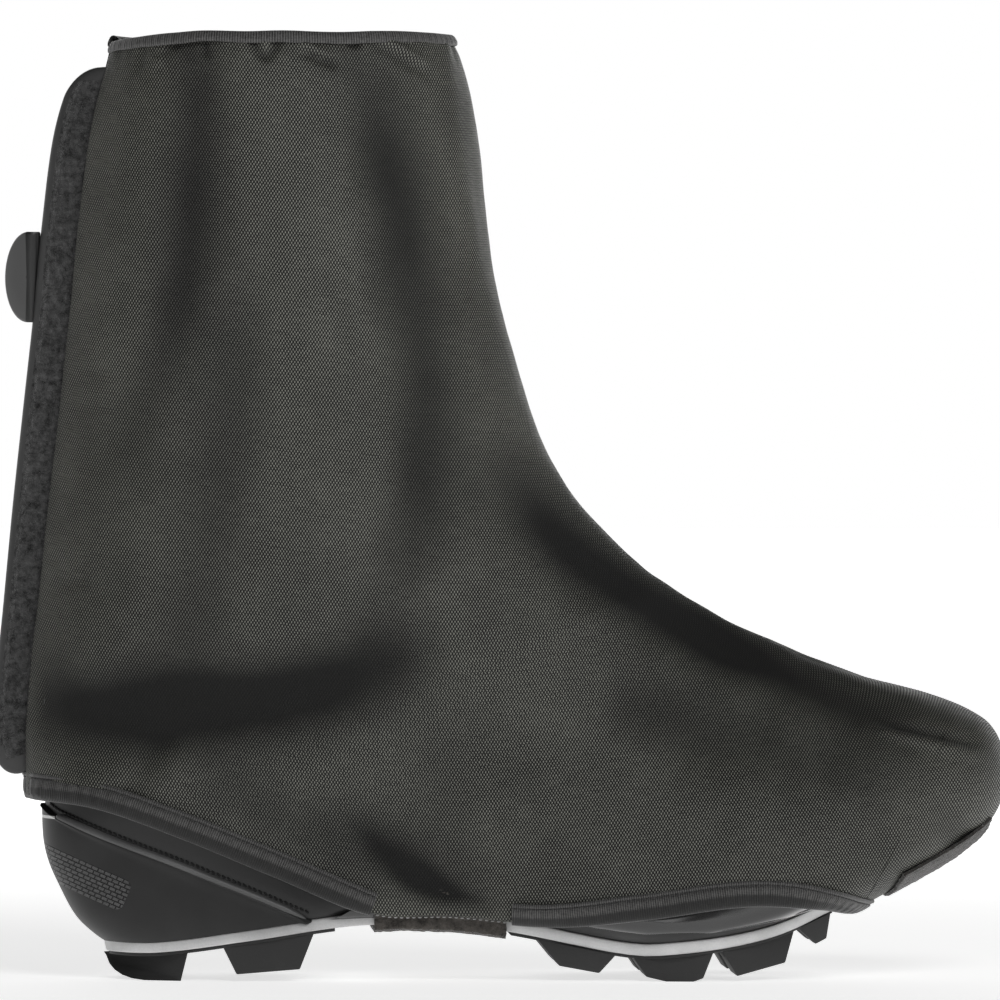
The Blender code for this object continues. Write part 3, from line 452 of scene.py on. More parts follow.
def sweep(name, path, frames, profile, material, nodes=()):
    """Band swept along a path. profile gives, for a station and its distance, points (out, down) in mm."""
    rows = []
    for index, (point, (normal, down), travelled) in enumerate(zip(path, frames, distances(path))):
        rows.append([point + normal * (out * MM) + down * (along * MM)
                     for out, along in profile(index, travelled)])
    cores = [point - normal * 0.01 for point, (normal, _) in zip(path, frames)]
    return piece(name, grid_mesh(name, rows, cores), material, nodes)


def stitches(name, spots, radius, material):
    """Row of threads. spots: for each stitch its start, its end and the outward normal there."""
    build = bmesh.new()
    sides = 6
    for start, end, normal in spots:
        ahead = (end - start).normalized()
        across = ahead.cross(normal).normalized()
        rings = []
        for share, swell, lift in ((0.0, 0.25, -0.5), (0.12, 0.85, 0.15), (0.5, 1.0, 0.45),
                                   (0.88, 0.85, 0.15), (1.0, 0.25, -0.5)):
            middle = start.lerp(end, share) + normal * (radius * lift) + SHIFT
            ring = []
            for side in range(sides):
                angle = 2 * math.pi * side / sides
                reach = across * math.cos(angle) + normal * math.sin(angle)
                ring.append(build.verts.new(middle + reach * (radius * swell)))
            rings.append(ring)
        for before, after in zip(rings, rings[1:]):
            for side in range(sides):
                follow = (side + 1) % sides
                build.faces.new((before[side], before[follow], after[follow], after[side]))
        build.faces.new(rings[0][::-1])
        build.faces.new(rings[-1])
    bmesh.ops.recalc_face_normals(build, faces=build.faces)
    piece(name, mesh_of(build, name), material, ())


# Materials

def smooth_range(tree, value, low, high, first, last):
    """Node value moved smoothly from one range to another."""
    node = tree.nodes.new("ShaderNodeMapRange")
    node.interpolation_type = "SMOOTHSTEP"
    for socket, number in (("From Min", low), ("From Max", high), ("To Min", first), ("To Max", last)):
        node.inputs[socket].default_value = number
    tree.links.new(value, node.inputs["Value"])
    return node.outputs["Result"]


class Finish:
    """A material and short calls for the nodes that it needs."""

    def __init__(self, name, roughness=0.8, sheen=0.0, coat=0.0, specular=0.5):
        self.material = bpy.data.materials.new(name)
        self.material.use_nodes = True
        self.tree = self.material.node_tree
        self.shader = self.tree.nodes["Principled BSDF"]
        self.shader.inputs["Roughness"].default_value = roughness
        self.shader.inputs["Specular IOR Level"].default_value = specular
        self.shader.inputs["Sheen Weight"].default_value = sheen
        self.shader.inputs["Sheen Roughness"].default_value = 0.45
        self.shader.inputs["Coat Weight"].default_value = coat
        self.shader.inputs["Coat Roughness"].default_value = 0.12

    def join(self, source, target):
        """Link a socket, or set a value, on an input."""
        if isinstance(source, bpy.types.NodeSocket):
            self.tree.links.new(source, target)
        else:
            target.default_value = source

    def math(self, operation, first, second=0.0, clamp=False):
        """Math node's value."""
        node = self.tree.nodes.new("ShaderNodeMath")
        node.operation = operation
        node.use_clamp = clamp
        self.join(first, node.inputs[0])
        self.join(second, node.inputs[1])
        return node.outputs[0]

    def cloth(self):
        """Texture place in millimetres along the cloth, as two values."""
        source = self.tree.nodes.new("ShaderNodeUVMap")
        source.uv_map = "cloth"
        split = self.tree.nodes.new("ShaderNodeSeparateXYZ")
        self.tree.links.new(source.outputs["UV"], split.inputs[0])
        return split.outputs["X"], split.outputs["Y"], source.outputs["UV"]

    def noise(self, scale, detail=3.0, rough=0.5, vector=None, stretch=None):
        """Noise value; without a vector it follows the object."""
        node = self.tree.nodes.new("ShaderNodeTexNoise")
        node.inputs["Scale"].default_value = scale
        node.inputs["Detail"].default_value = detail
        node.inputs["Roughness"].default_value = rough
        if vector is None:
            vector = self.tree.nodes.new("ShaderNodeTexCoord").outputs["Object"]
        if stretch:
            mapping = self.tree.nodes.new("ShaderNodeMapping")
            mapping.inputs["Scale"].default_value = stretch
            self.tree.links.new(vector, mapping.inputs["Vector"])
            vector = mapping.outputs["Vector"]
        self.tree.links.new(vector, node.inputs["Vector"])
        return node.outputs["Fac"]

    def ramp(self, value, stops):
        """Colour of a value through stops of (place, colour)."""
        node = self.tree.nodes.new("ShaderNodeValToRGB")
        self.tree.links.new(value, node.inputs[0])
        elements = node.color_ramp.elements
        while len(elements) < len(stops):
            elements.new(0.5)
        for element, (place, colour) in zip(elements, stops):
            element.position = place
            element.color = (*colour, 1.0)
        return node.outputs["Color"]

    def colour(self, value, stops):
        """Base colour from a value through stops."""
        self.tree.links.new(self.ramp(value, stops), self.shader.inputs["Base Color"])

    def bump(self, height, distance, strength=1.0):
        """Bump from a height value, its depth in metres."""
        node = self.tree.nodes.new("ShaderNodeBump")
        node.inputs["Distance"].default_value = distance
        node.inputs["Strength"].default_value = strength
        self.join(height, node.inputs["Height"])
        before = self.shader.inputs["Normal"]
        if before.links:
            self.tree.links.new(before.links[0].from_socket, node.inputs["Normal"])
        self.tree.links.new(node.outputs["Normal"], before)

    def span(self, value, low, high, first, last):
        """Value moved smoothly from one range to another."""
        return smooth_range(self.tree, value, low, high, first, last)

    def blend(self, factor, first, second):
        """Colour between two."""
        node = self.tree.nodes.new("ShaderNodeMix")
        node.data_type = "RGBA"
        self.join(factor, node.inputs["Factor"])
        self.join(first, node.inputs["A"])
        self.join(second, node.inputs["B"])
        return node.outputs["Result"]

    def beyond(self, value, limit):
        """How far a value's size passes a limit, or 0."""
        return self.math("MAXIMUM", self.math("SUBTRACT", self.math("ABSOLUTE", value), limit), 0.0)

    def side_patch(self, x, z, angle, half_length, half_height, corner):
        """Mask of a rounded patch in the side view, with places along and across it; all in mm."""
        source = self.tree.nodes.new("ShaderNodeTexCoord")
        split = self.tree.nodes.new("ShaderNodeSeparateXYZ")
        self.tree.links.new(source.outputs["Object"], split.inputs[0])
        aside = self.math("SUBTRACT", self.math("DIVIDE", split.outputs["X"], MM), x + SHIFT.x / MM)
        above = self.math("SUBTRACT", self.math("DIVIDE", split.outputs["Z"], MM), z)
        cosine = math.cos(math.radians(angle))
        sine = math.sin(math.radians(angle))
        along = self.math("ADD", self.math("MULTIPLY", aside, cosine), self.math("MULTIPLY", above, sine))
        across = self.math("SUBTRACT", self.math("MULTIPLY", above, cosine),
                           self.math("MULTIPLY", aside, sine))
        out = self.beyond(along, half_length - corner)
        up = self.beyond(across, half_height - corner)
        squares = self.math("ADD", self.math("MULTIPLY", out, out), self.math("MULTIPLY", up, up))
        reach = self.math("SQRT", squares)
        return self.span(reach, corner - 0.15, corner + 0.15, 1.0, 0.0), along, across

    def rough(self, value, low, high):
        """Roughness between two limits from a value."""
        node = self.tree.nodes.new("ShaderNodeMapRange")
        node.inputs["To Min"].default_value = low
        node.inputs["To Max"].default_value = high
        self.tree.links.new(value, node.inputs["Value"])
        self.tree.links.new(node.outputs["Result"], self.shader.inputs["Roughness"])


def grey(value, warmth=0.0):
    """Nearly neutral colour."""
    return (value * (1 + warmth), value, value * (1 - warmth))


WARP_PITCH = 0.477
WEFT_PITCH = 0.756


def weave_cloth():
    """Plain-weave nylon: light dots where the warp lies over the weft, in staggered rows; the cloth's hollows
    get painted shade.
    """
    finish = Finish("cover_weave", roughness=0.4, sheen=0.04, specular=0.42)
    across, along, place = finish.cloth()
    drift = finish.noise(0.35, 2.0, 0.5, place)
    shaken = finish.math("ADD", along, finish.math("MULTIPLY", drift, 0.5))
    warp = finish.math("SINE", finish.math("MULTIPLY", across, math.pi / WARP_PITCH))
    weft = finish.math("SINE", finish.math("MULTIPLY", shaken, math.pi / WEFT_PITCH))
    over = finish.math("MULTIPLY", warp, weft)
    height = finish.math("MULTIPLY_ADD", over, 0.5)
    height.node.inputs[2].default_value = 0.5
    streak = finish.noise(1.2, 2.0, 0.6, place, (0.12, 2.2, 1.0))
    cloud = finish.noise(0.03, 3.0, 0.6, place)
    tone = finish.math("ADD", height, finish.math("MULTIPLY", finish.math("SUBTRACT", streak, 0.5), 0.35))
    tone = finish.math("ADD", tone, finish.math("MULTIPLY", finish.math("SUBTRACT", cloud, 0.5), 0.25), True)
    # Painted shade: the colour fades towards near black with each point's hollow depth, and the roughness
    # rises there.
    hollow = finish.tree.nodes.new("ShaderNodeAttribute")
    hollow.attribute_name = "hollow"
    left_by_painted_shade = finish.math("SUBTRACT", 1.0, finish.math("MULTIPLY", hollow.outputs["Fac"], 0.95))
    threads = finish.ramp(tone, [(0.30, (0.0010, 0.0010, 0.0008)), (0.52, (0.010, 0.010, 0.0084)),
                                 (0.84, (0.208, 0.210, 0.180))])
    finish.join(finish.blend(left_by_painted_shade, (0.002, 0.002, 0.002, 1.0), threads),
                finish.shader.inputs["Base Color"])
    finish.rough(finish.math("MULTIPLY", tone, left_by_painted_shade), 0.84, 0.36)
    finish.bump(height, 0.00014, 0.85)
    finish.bump(finish.noise(9.0, 2.0, 0.6, place), 0.00003, 0.6)
    return finish.material


def lining_cloth():
    """Brushed inside of the cover."""
    finish = Finish("cover_lining", roughness=0.95, sheen=0.3, specular=0.2)
    fuzz = finish.noise(900.0, 4.0, 0.7)
    finish.colour(fuzz, [(0.3, grey(0.012)), (0.7, grey(0.035))])
    finish.bump(fuzz, 0.0004, 0.8)
    return finish.material


RIB_PITCH = 0.8


def elastic_band():
    """Ribbed elastic with fine threads along it, darkened past 5 mm across as painted shade."""
    finish = Finish("ribbed_elastic", roughness=0.6, sheen=0.35, specular=0.4)
    across, along, place = finish.cloth()
    rib = finish.math("SINE", finish.math("MULTIPLY", along, 2 * math.pi / RIB_PITCH))
    thread = finish.math("SINE", finish.math("MULTIPLY", across, 2 * math.pi / 0.5))
    height = finish.math("ADD", finish.math("MULTIPLY", rib, 0.35), finish.math("MULTIPLY", thread, 0.12))
    tone = finish.math("ADD", height, finish.noise(0.8, 3.0, 0.6, place))
    # Painted shade: past 5 mm across the band the tone drops to a quarter, over the collar's top and inside
    # and the hem's lower part and inside.
    shade = finish.span(across, 5.0, 6.2, 1.0, 0.25)
    tone = finish.math("MULTIPLY", tone, shade)
    finish.colour(tone, [(0.1, grey(0.008, 0.02)), (0.9, grey(0.115, 0.02))])
    finish.bump(height, 0.00012, 0.8)
    return finish.material


def pile(name, dark, light, warmth, scale=700.0):
    """Fuzzy cloth: loop tape, brushed strap or felt."""
    finish = Finish(name, roughness=0.95, sheen=0.5, specular=0.15)
    clump = finish.noise(scale * 0.35, 3.0, 0.7)
    fibre = finish.noise(scale * 2.2, 4.0, 0.75)
    tone = finish.math("ADD", finish.math("MULTIPLY", clump, 0.6), finish.math("MULTIPLY", fibre, 0.4))
    finish.colour(tone, [(0.36, grey(dark, warmth)), (0.66, grey(light, warmth))])
    finish.bump(clump, 0.0009, 0.8)
    finish.bump(fibre, 0.0003, 0.9)
    return finish.material


def synthetic(name, value, roughness, grain=0.00004, coat=0.0):
    """Smooth synthetic leather or moulded rubber with a fine grain."""
    finish = Finish(name, roughness=roughness, coat=coat, specular=0.5)
    skin = finish.noise(1800.0, 3.0, 0.6)
    cloud = finish.noise(45.0, 3.0, 0.55)
    tone = finish.math("ADD", finish.math("MULTIPLY", cloud, 0.8), finish.math("MULTIPLY", skin, 0.2))
    finish.colour(tone, [(0.3, grey(value * 0.75)), (0.7, grey(value * 1.3))])
    finish.rough(cloud, roughness * 0.88, min(roughness * 1.15, 1.0))
    finish.bump(skin, grain, 0.7)
    return finish.material


def counter_finish():
    """Satin heel panel with a moulded patch of small bricks and a pale bar."""
    finish = Finish("counter_skin", roughness=0.45, specular=0.32)
    skin = finish.noise(1800.0, 3.0, 0.6)
    cloud = finish.noise(45.0, 3.0, 0.55)
    plain = finish.ramp(cloud, [(0.3, grey(0.014)), (0.7, grey(0.023))])
    mask, along, across = finish.side_patch(12.5, 31.8, -23, 15.6, 5.0, 2.6)
    place = finish.tree.nodes.new("ShaderNodeCombineXYZ")
    finish.join(along, place.inputs["X"])
    finish.join(across, place.inputs["Y"])
    brick = finish.tree.nodes.new("ShaderNodeTexBrick")
    for socket, number in (("Scale", 1.0), ("Brick Width", 2.1), ("Row Height", 1.25), ("Mortar Size", 0.24),
                           ("Mortar Smooth", 0.8)):
        brick.inputs[socket].default_value = number
    brick.inputs["Color1"].default_value = (1, 1, 1, 1)
    brick.inputs["Color2"].default_value = (0.7, 0.7, 0.7, 1)
    brick.inputs["Mortar"].default_value = (0, 0, 0, 1)
    finish.join(place.outputs[0], brick.inputs["Vector"])
    grain = finish.math("ADD", finish.noise(1.6, 3.0, 0.7, place.outputs[0]), 0.35)
    studs = finish.math("MULTIPLY", brick.outputs["Color"], grain)
    rough_part = finish.ramp(studs, [(0.05, grey(0.003)), (0.8, grey(0.10))])
    colour = finish.blend(mask, plain, rough_part)
    bar = finish.side_patch(1.0, 50.0, -1, 3.8, 0.45, 0.2)[0]
    colour = finish.blend(bar, colour, (0.80, 0.80, 0.79, 1.0))
    finish.join(colour, finish.shader.inputs["Base Color"])
    finish.bump(finish.math("MULTIPLY", studs, mask), 0.0007, 0.9)
    finish.bump(skin, 0.00004, 0.7)
    return finish.material


CLOTH = weave_cloth()
LINING = lining_cloth()
ELASTIC = elastic_band()
TAPE = pile("loop_tape_pile", 0.003, 0.105, 0.0, 1300.0)
STRAP = pile("strap_felt", 0.022, 0.105, 0.10, 800.0)
GUARD = pile("guard_felt", 0.010, 0.060, 0.09, 900.0)
FLAP = synthetic("flap_skin", 0.040, 0.50, 0.00006)
TAB = synthetic("tab_rubber_skin", 0.011, 0.32, 0.00002)
SHOE = synthetic("shoe_skin", 0.017, 0.46)
COUNTER = counter_finish()
PIPING = synthetic("piping_skin", 0.095, 0.42)
LENS = synthetic("gloss_skin", 0.020, 0.14, 0.00001, coat=1.0)
PLATE = synthetic("plate_skin", 0.56, 0.38, 0.00002)
RUBBER = synthetic("sole_rubber_skin", 0.018, 0.62, 0.00008)
THREAD = synthetic("thread", 0.045, 0.6)
PALE_THREAD = synthetic("pale_thread", 0.34, 0.7)
# Near-black heel stitches: partly the thread, partly painted shadow in the stitch holes.
STITCH_AND_HOLE_SHADOW = synthetic("stitch_and_hole_shadow", 0.004, 0.8)
FOAM = pile("insole_cloth", 0.03, 0.09, 0.0)


# Cloth of the cover

Fold = namedtuple("Fold", "x z angle length width depth")

# Troughs of the outer side: middle and angle in the side view (mm and degrees up towards the toe),
# length, width and depth in mm. A negative depth is a ridge.
OUTER_FOLDS = [
    Fold(46, 240, 84, 130, 10, 2.6),
    Fold(84, 236, 86, 130, 13, -1.8),
    Fold(117, 212, 97, 150, 14, 3.3),
    Fold(134, 250, 100, 70, 6, -1.0),
    Fold(84, 46, -22, 76, 11, 1.5),
    Fold(42, 84, 6, 104, 13, 4.2),
    Fold(22, 62, 10, 40, 7, -1.2),
    Fold(98, 90, 24, 60, 13, 1.8),
    Fold(186, 124, -32, 80, 12, 4.3),
    Fold(236, 98, -22, 60, 9, 2.4),
    Fold(276, 80, -20, 24, 2.8, 1.6),
    Fold(273, 76.5, -22, 26, 2.4, -1.2),
    Fold(110, 38, -42, 36, 5.0, 2.8),
    Fold(124, 28, -22, 28, 3.6, 2.0),
    Fold(104, 46, -44, 26, 3.2, -0.8),
    Fold(30, 62, 60, 34, 5, 1.2),
    Fold(214, 76, -14, 80, 13, 1.7),
    Fold(200, 58, -8, 90, 13, -1.4),
    Fold(150, 100, -40, 60, 15, -1.3),
    Fold(13, 186, 10, 9, 2.4, 0.45),
    Fold(11, 175, 12, 9, 2.4, 0.45),
    Fold(8, 121, 8, 9, 2.4, 0.45),
    Fold(90, 150, 70, 120, 20, -1.2),
    Fold(56, 150, 80, 130, 14, 1.5),
    Fold(286, 40, -50, 26, 6, 1.4),
    # Puckers under the collar
    Fold(38, 286.0, 42, 7, 1.5, 1.4),
    Fold(36, 284.0, 42, 8, 1.2, -0.9),
    Fold(50, 286.5, 100, 5, 1.3, 0.9),
    Fold(66.5, 286.0, -58, 7, 1.4, 1.6),
    Fold(71.5, 286.0, 60, 7, 1.4, 1.5),
    Fold(69, 288.0, 90, 5, 1.6, -0.8),
    Fold(84, 285.4, -32, 8, 1.7, -1.2),
    Fold(86, 282.8, -24, 9, 1.6, 1.8),
    Fold(97, 287.6, 0, 3.5, 1.3, 1.3),
    Fold(114, 285.5, -26, 16, 1.3, -0.9),
    Fold(113, 282.8, -28, 16, 1.6, 0.9),
    Fold(28, 284, 70, 9, 1.8, 0.9),
]

# Troughs of the inner side, laid out in the same way
INNER_FOLDS = [
    Fold(58, 236, 86, 110, 12, 1.5),
    Fold(104, 222, 94, 120, 13, 1.2),
    Fold(82, 236, 88, 120, 12, -1.0),
    Fold(48, 86, 4, 90, 14, 2.6),
    Fold(182, 126, -34, 74, 12, 2.6),
    Fold(150, 100, -42, 66, 12, 1.2),
    Fold(118, 36, -36, 36, 6, 1.6),
    Fold(226, 84, -20, 56, 10, 1.1),
    Fold(272, 78, -22, 24, 4, 0.8),
]


def trough(fold, x, z):
    """Depth of one fold at a point of the side view, in metres outwards."""
    angle = math.radians(fold.angle)
    ahead = (x - fold.x) * math.cos(angle) + (z - fold.z) * math.sin(angle)
    aside = (z - fold.z) * math.cos(angle) - (x - fold.x) * math.sin(angle)
    bow = aside - 0.0022 * ahead * ahead * (1 if fold.depth > 0 else -1)
    reach = 2 * ahead / fold.length
    if abs(reach) > 1.9 or abs(bow) > 3.2 * fold.width:
        return 0.0
    return -fold.depth * MM * math.exp(-(bow / fold.width) ** 2 - reach ** 4 * 0.5)


# A hollow sinks freely to the first depth and at most the second one further, clear of the shoe
SOFT_DEPTH = 0.0026
LEFT_DEPTH = 0.0011


def relief(x, z, side, from_collar, from_edge):
    """How far the cloth stands out of the form at a flattened point, distances in mm."""
    spot = Vector((x / 34.0, side * 3.1, z / 44.0))
    height = 0.75 * noise.noise(spot) + 0.28 * noise.noise(spot * 2.7) + 0.07 * noise.noise(spot * 8.0)
    height *= MM
    for fold in OUTER_FOLDS if side < 0 else INNER_FOLDS:
        height += trough(fold, x, z)
    gather = math.exp(-((from_collar / 9.0) ** 2))
    ripple = noise.noise(Vector((x / 3.6, side * 7.3, from_collar / 16.0)))
    dent = noise.noise(Vector((x / 9.0, side * 1.7, 2.0)))
    height += gather * (0.55 * ripple - 0.4 * max(dent, 0.0)) * MM
    pucker = math.exp(-((from_edge - 5.0) / 4.0) ** 2)
    height += pucker * 0.35 * noise.noise(Vector((x / 2.6, z / 2.6, side * 2.2))) * MM
    fade = min(from_edge / 9.0, 1.0)
    height *= 0.25 + 0.75 * fade
    if height < -SOFT_DEPTH:
        height = -SOFT_DEPTH - LEFT_DEPTH * math.tanh((-height - SOFT_DEPTH) / LEFT_DEPTH)
    return height


GRAIN_SLOPE = 0.12
GRAIN_TURNING = 0.21
GRAIN_BEND_X = 125.0
GRAIN_BEND_SPAN = 15.0


def grain(point):
    """Cloth place of a flattened point: rows slope down to the front of the leg, then up along the foot."""
    past = (point.x - GRAIN_BEND_X) / GRAIN_BEND_SPAN
    turned = GRAIN_BEND_SPAN * (math.log1p(math.exp(-abs(past))) + max(past, 0.0))
    return point.x, point.y + GRAIN_SLOPE * point.x - GRAIN_TURNING * turned


LINING_DEPTH = 0.0017
ROWS_PER_PLACE = 18
TIP_ROWS_PER_PLACE = 12
HALF_COLUMNS = 104


def cover_rows():
    """Places of the cover's rows."""
    tip = 20.0
    places = [index / ROWS_PER_PLACE for index in range(int(tip * ROWS_PER_PLACE))]
    places += [tip + index / TIP_ROWS_PER_PLACE for index in range(int((TOE - tip) * TIP_ROWS_PER_PLACE) + 1)]
    extra = [HEM_HEEL - 0.03, HEM_HEEL, HEM_HEEL + 0.02, HEM_TOE - 0.02, HEM_TOE]
    return sorted(set(places + extra))


@lru_cache(maxsize=None)
def flat_row(place):
    """Turns of a half row with its flattened points in mm and distances from the collar and the edge."""
    turns = spaced_turns(place, 0.0, cover_end(place), HALF_COLUMNS)
    points = [form_point(place, turn) for turn in turns]
    lengths = [travelled / MM for travelled in distances(points)]
    middle = form_point(place, math.pi / 2)
    if turns[-1] >= math.pi / 2:
        after = next(index for index, turn in enumerate(turns) if turn >= math.pi / 2)
        span = turns[after] - turns[after - 1]
        share = (math.pi / 2 - turns[after - 1]) / span if span > 0 else 0.0
        origin = lengths[after - 1] + share * (lengths[after] - lengths[after - 1])
    else:
        origin = lengths[-1] + (middle - points[-1]).length / MM
    _, front, back = section(place, False)
    ahead = front - back
    ahead = ahead.normalized() if ahead.length > 1e-5 else Vector((1.0, 0.0))
    flat = [Vector((middle.x / MM, middle.z / MM)) + ahead * (origin - length) for length in lengths]
    collar = (form_point(0.0, math.pi / 2) - middle).length / MM
    return turns, flat, lengths, collar


# A hollow of this depth gets the cloth's darkest painted shade; a closed section's edge counts as this far
# off, in mm
FULL_HOLLOW = 0.0034
CLOSED_EDGE = 40.0

SAG = 0.0022
SAG_FRONT = 0.040
SAG_REACH = 0.019
SAG_FOOT = 0.262
SAG_HEIGHT = 0.026


def sagged(point):
    """Point with the outer panel's rear top corner let down a little."""
    if point.y > 0 or point.x > SAG_FRONT or point.z < SAG_FOOT:
        return point
    share = min((SAG_FRONT - point.x) / SAG_REACH, 1.0)
    height = min((point.z - SAG_FOOT) / SAG_HEIGHT, 1.0)
    return point - Vector((0, 0, SAG * share * share * (3 - 2 * share) * height * height))


def make_cover():
    """Outer cloth of the cover, with a rolled edge at the rear opening."""
    rows = []
    cores = []
    uvs = []
    depths = []
    for place in cover_rows():
        turns, flat, lengths, collar = flat_row(place)
        halves = []
        for side in (-1, 1):
            half = []
            for turn, spot, length in zip(turns, flat, lengths):
                edge = lengths[-1] - length if place < HEM_TOE else CLOSED_EDGE
                height = relief(spot.x, spot.y, side, collar, edge)
                point = surface(place, side * turn, height)
                # Share of a full hollow, which sets the cloth's painted shade at this point
                shade = min(max(-height / FULL_HOLLOW, 0.0), 1.0)
                seam = math.exp(-(length / 0.7) ** 2) * 0.35 * MM
                lip = math.exp(-((edge - 0.9) / 0.6) ** 2) * 0.35 * MM
                point += form_normal(place, side * turn) * (lip - seam)
                half.append((point, grain(spot) if side < 0 else mirrored(grain(spot)), shade))
            halves.append(half)
        near = [*rolled_edge(place, turns, -1, halves[0]), *halves[0][:0:-1]]
        far = [*halves[1], *rolled_edge(place, turns, 1, halves[1])[::-1]]
        rows.append([sagged(point) for point, _, _ in near + far])
        uvs.append([uv for _, uv, _ in near + far])
        depths.append([shade for _, _, shade in near + far])
        cores.append(core_point(place))
    mesh = grid_mesh("cover_cloth", rows, cores, uvs, weld=WELD, depths=depths)
    piece("cover_cloth", mesh, CLOTH, ("overshoe_upper",))


# Millimetres between the cloth places of the two sides
FAR_SIDE_OFFSET = 613.0


def mirrored(uv):
    """Cloth place on the inner panel, well away from the outer panel's."""
    return (uv[0] + FAR_SIDE_OFFSET, uv[1])


def rolled_edge(place, turns, side, half):
    """Points that take the cloth round its edge to the inside, first the innermost."""
    point, uv, shade = half[-1]
    normal = form_normal(place, side * turns[-1])
    ahead = half[-1][0] - half[-2][0]
    ahead = ahead.normalized() if ahead.length > 1e-6 else Vector((0.0, 0.0, 0.0))
    if place >= HEM_TOE:
        return [(point, uv, shade)] * 3
    radius = COVER_WALL / 2
    curve = []
    for angle in (150, 100, 45):
        turn = math.radians(angle)
        spot = point + ahead * (radius * math.sin(turn)) - normal * (radius * (1 - math.cos(turn)))
        curve.append((spot, (uv[0] + angle * 0.01, uv[1]), shade))
    return curve


def make_lining():
    """Inside face of the cover."""
    rows = []
    cores = []
    for place in cover_rows()[1:-4:3]:
        turns, flat, lengths, collar = flat_row(place)
        halves = []
        for side in (-1, 1):
            half = []
            for index in [*range(0, HALF_COLUMNS - 1, 4), HALF_COLUMNS - 1]:
                edge = lengths[-1] - lengths[index] if place < HEM_TOE else CLOSED_EDGE
                fold = relief(flat[index].x, flat[index].y, side, collar, edge)
                half.append(surface(place, side * turns[index], fold - LINING_DEPTH))
            halves.append(half)
        rows.append([sagged(point) for point in halves[0][:0:-1] + halves[1]])
        cores.append(core_point(place))
    mesh = grid_mesh("cover_lining", rows, cores)
    mesh.flip_normals()
    piece("cover_lining", mesh, LINING, ())


make_cover()
make_lining()


# Elastic bindings

def edge_frames(path, normals, sign):
    """For each point of an edge its outward normal and the direction into the cover."""
    frames = []
    for index, normal in enumerate(normals):
        ahead = path[min(index + 1, len(path) - 1)] - path[max(index - 1, 0)]
        down = ahead.cross(normal).normalized()
        same_way = down.dot(frames[-1][1]) if frames else down.z * sign
        frames.append((normal, down if same_way > 0 else -down))
    return frames


def make_collar():
    """Ribbed elastic over the collar's edge, slightly wavy."""
    end = cover_end(0.0)
    half = spaced_turns(0.0, 0.0, end, 460)
    turns = [-turn for turn in half[:0:-1]] + half
    path = [sagged(form_point(0.0, turn)) for turn in turns]
    normals = [form_normal(0.0, turn) for turn in turns]
    frames = edge_frames(path, normals, -1)

    def profile(index, travelled):
        wave = 0.75 * noise.noise(Vector((travelled / 0.019, 0.3, 0.0)))
        swell = 0.22 * noise.noise(Vector((travelled / 0.007, 4.1, 0.0)))
        rib = 0.07 * math.sin(2 * math.pi * travelled / (1.15 * MM))
        deep = 2.2 + 0.6 * noise.noise(Vector((travelled / 0.011, 9.7, 0.0)))
        out = 0.95 + swell + rib
        points = [(0.3, deep + 0.25), (out * 0.8, deep), (out, deep - 0.5), (out + 0.1, deep * 0.5),
                  (out, 0.3), (out * 0.85, -0.5), (out * 0.45, -1.15), (-0.2, -1.45), (-1.0, -1.35),
                  (-1.9, -0.9), (-2.5, -0.1), (-2.6, 1.2), (-2.5, 2.6), (-1.9, 3.0)]
        return [(a, b - wave) for a, b in points]

    sweep("collar_elastic", path, frames, profile, ELASTIC, ("collar_binding",))


def hem_path(places):
    """Edge of the hem round from side to side; the first place is in the middle."""
    path = []
    normals = []
    for side, order in ((-1, places[:0:-1]), (1, places)):
        for place in order:
            turn = side * crossing(place, hem_line)
            path.append(form_point(place, turn))
            normals.append(form_normal(place, turn))
    return path, normals


def even_path(path, normals, step):
    """Path and normals at even distances."""
    travelled = distances(path)
    stations = list(even_stations(travelled, int(travelled[-1] / step) + 1))
    return ([path[index].lerp(path[index + 1], share) for index, share in stations],
            [normals[index].lerp(normals[index + 1], share).normalized() for index, share in stations])


def make_hem(name, node, places):
    """Piped and ribbed elastic along the hem, with a row of fine stitches above the ribs."""
    path, normals = even_path(*hem_path(places), 0.25 * MM)
    frames = edge_frames(path, normals, 1)

    def profile(index, travelled):
        rib = 0.11 * math.sin(2 * math.pi * travelled / (RIB_PITCH * MM))
        swell = 0.12 * noise.noise(Vector((travelled / 0.009, 1.3, 0.0)))
        beside = min(abs(path[index].y) / 0.016, 1.0) if path[index].x < 0.03 else 1.0
        out = (1.35 + swell) * (0.45 + 0.55 * beside * beside)
        return [(0.1, 6.9), (0.75, 6.75), (1.05, 6.35), (0.95, 5.95), (0.45, 5.65), (0.5, 5.4),
                (out + rib * 0.6, 5.0), (out + 0.15 + rib, 3.6), (out + 0.2 + rib, 2.2),
                (out + 0.1 + rib, 0.9), (out - 0.1, -0.1), (out * 0.6, -0.8), (0.0, -1.2), (-0.9, -1.1),
                (-1.7, -0.6), (-1.9, 0.6)]

    sweep(name, path, frames, profile, ELASTIC, (node,))
    spots = []
    step = 6
    for index in range(0, len(path) - step, step):
        normal, down = frames[index]
        lift = normal * (0.75 * MM) + down * (5.5 * MM)
        start = path[index].lerp(path[index + step], 0.15) + lift
        spots.append((start, path[index].lerp(path[index + step], 0.8) + lift, normal))
    stitches(name + "_stitches", spots, 0.16 * MM, THREAD)


STRAP_CLEAR = 0.0015
REAR_PLACE = place_at(STRAP_FRONT - STRAP_WIDTH - STRAP_CLEAR, hem_line)
FRONT_PLACE = place_at(STRAP_FRONT + STRAP_CLEAR, hem_line)

make_collar()
make_hem("hem_elastic_front", "hem_binding_front", spread(HEM_TOE, FRONT_PLACE, 90))
make_hem("hem_elastic_rear", "hem_binding_rear", spread(HEM_HEEL, REAR_PLACE, 90))


# Rear closure

CLOSURE_TOP = 1.05
CLOSURE_BOTTOM = 8.88
END_MARGIN = 0.12

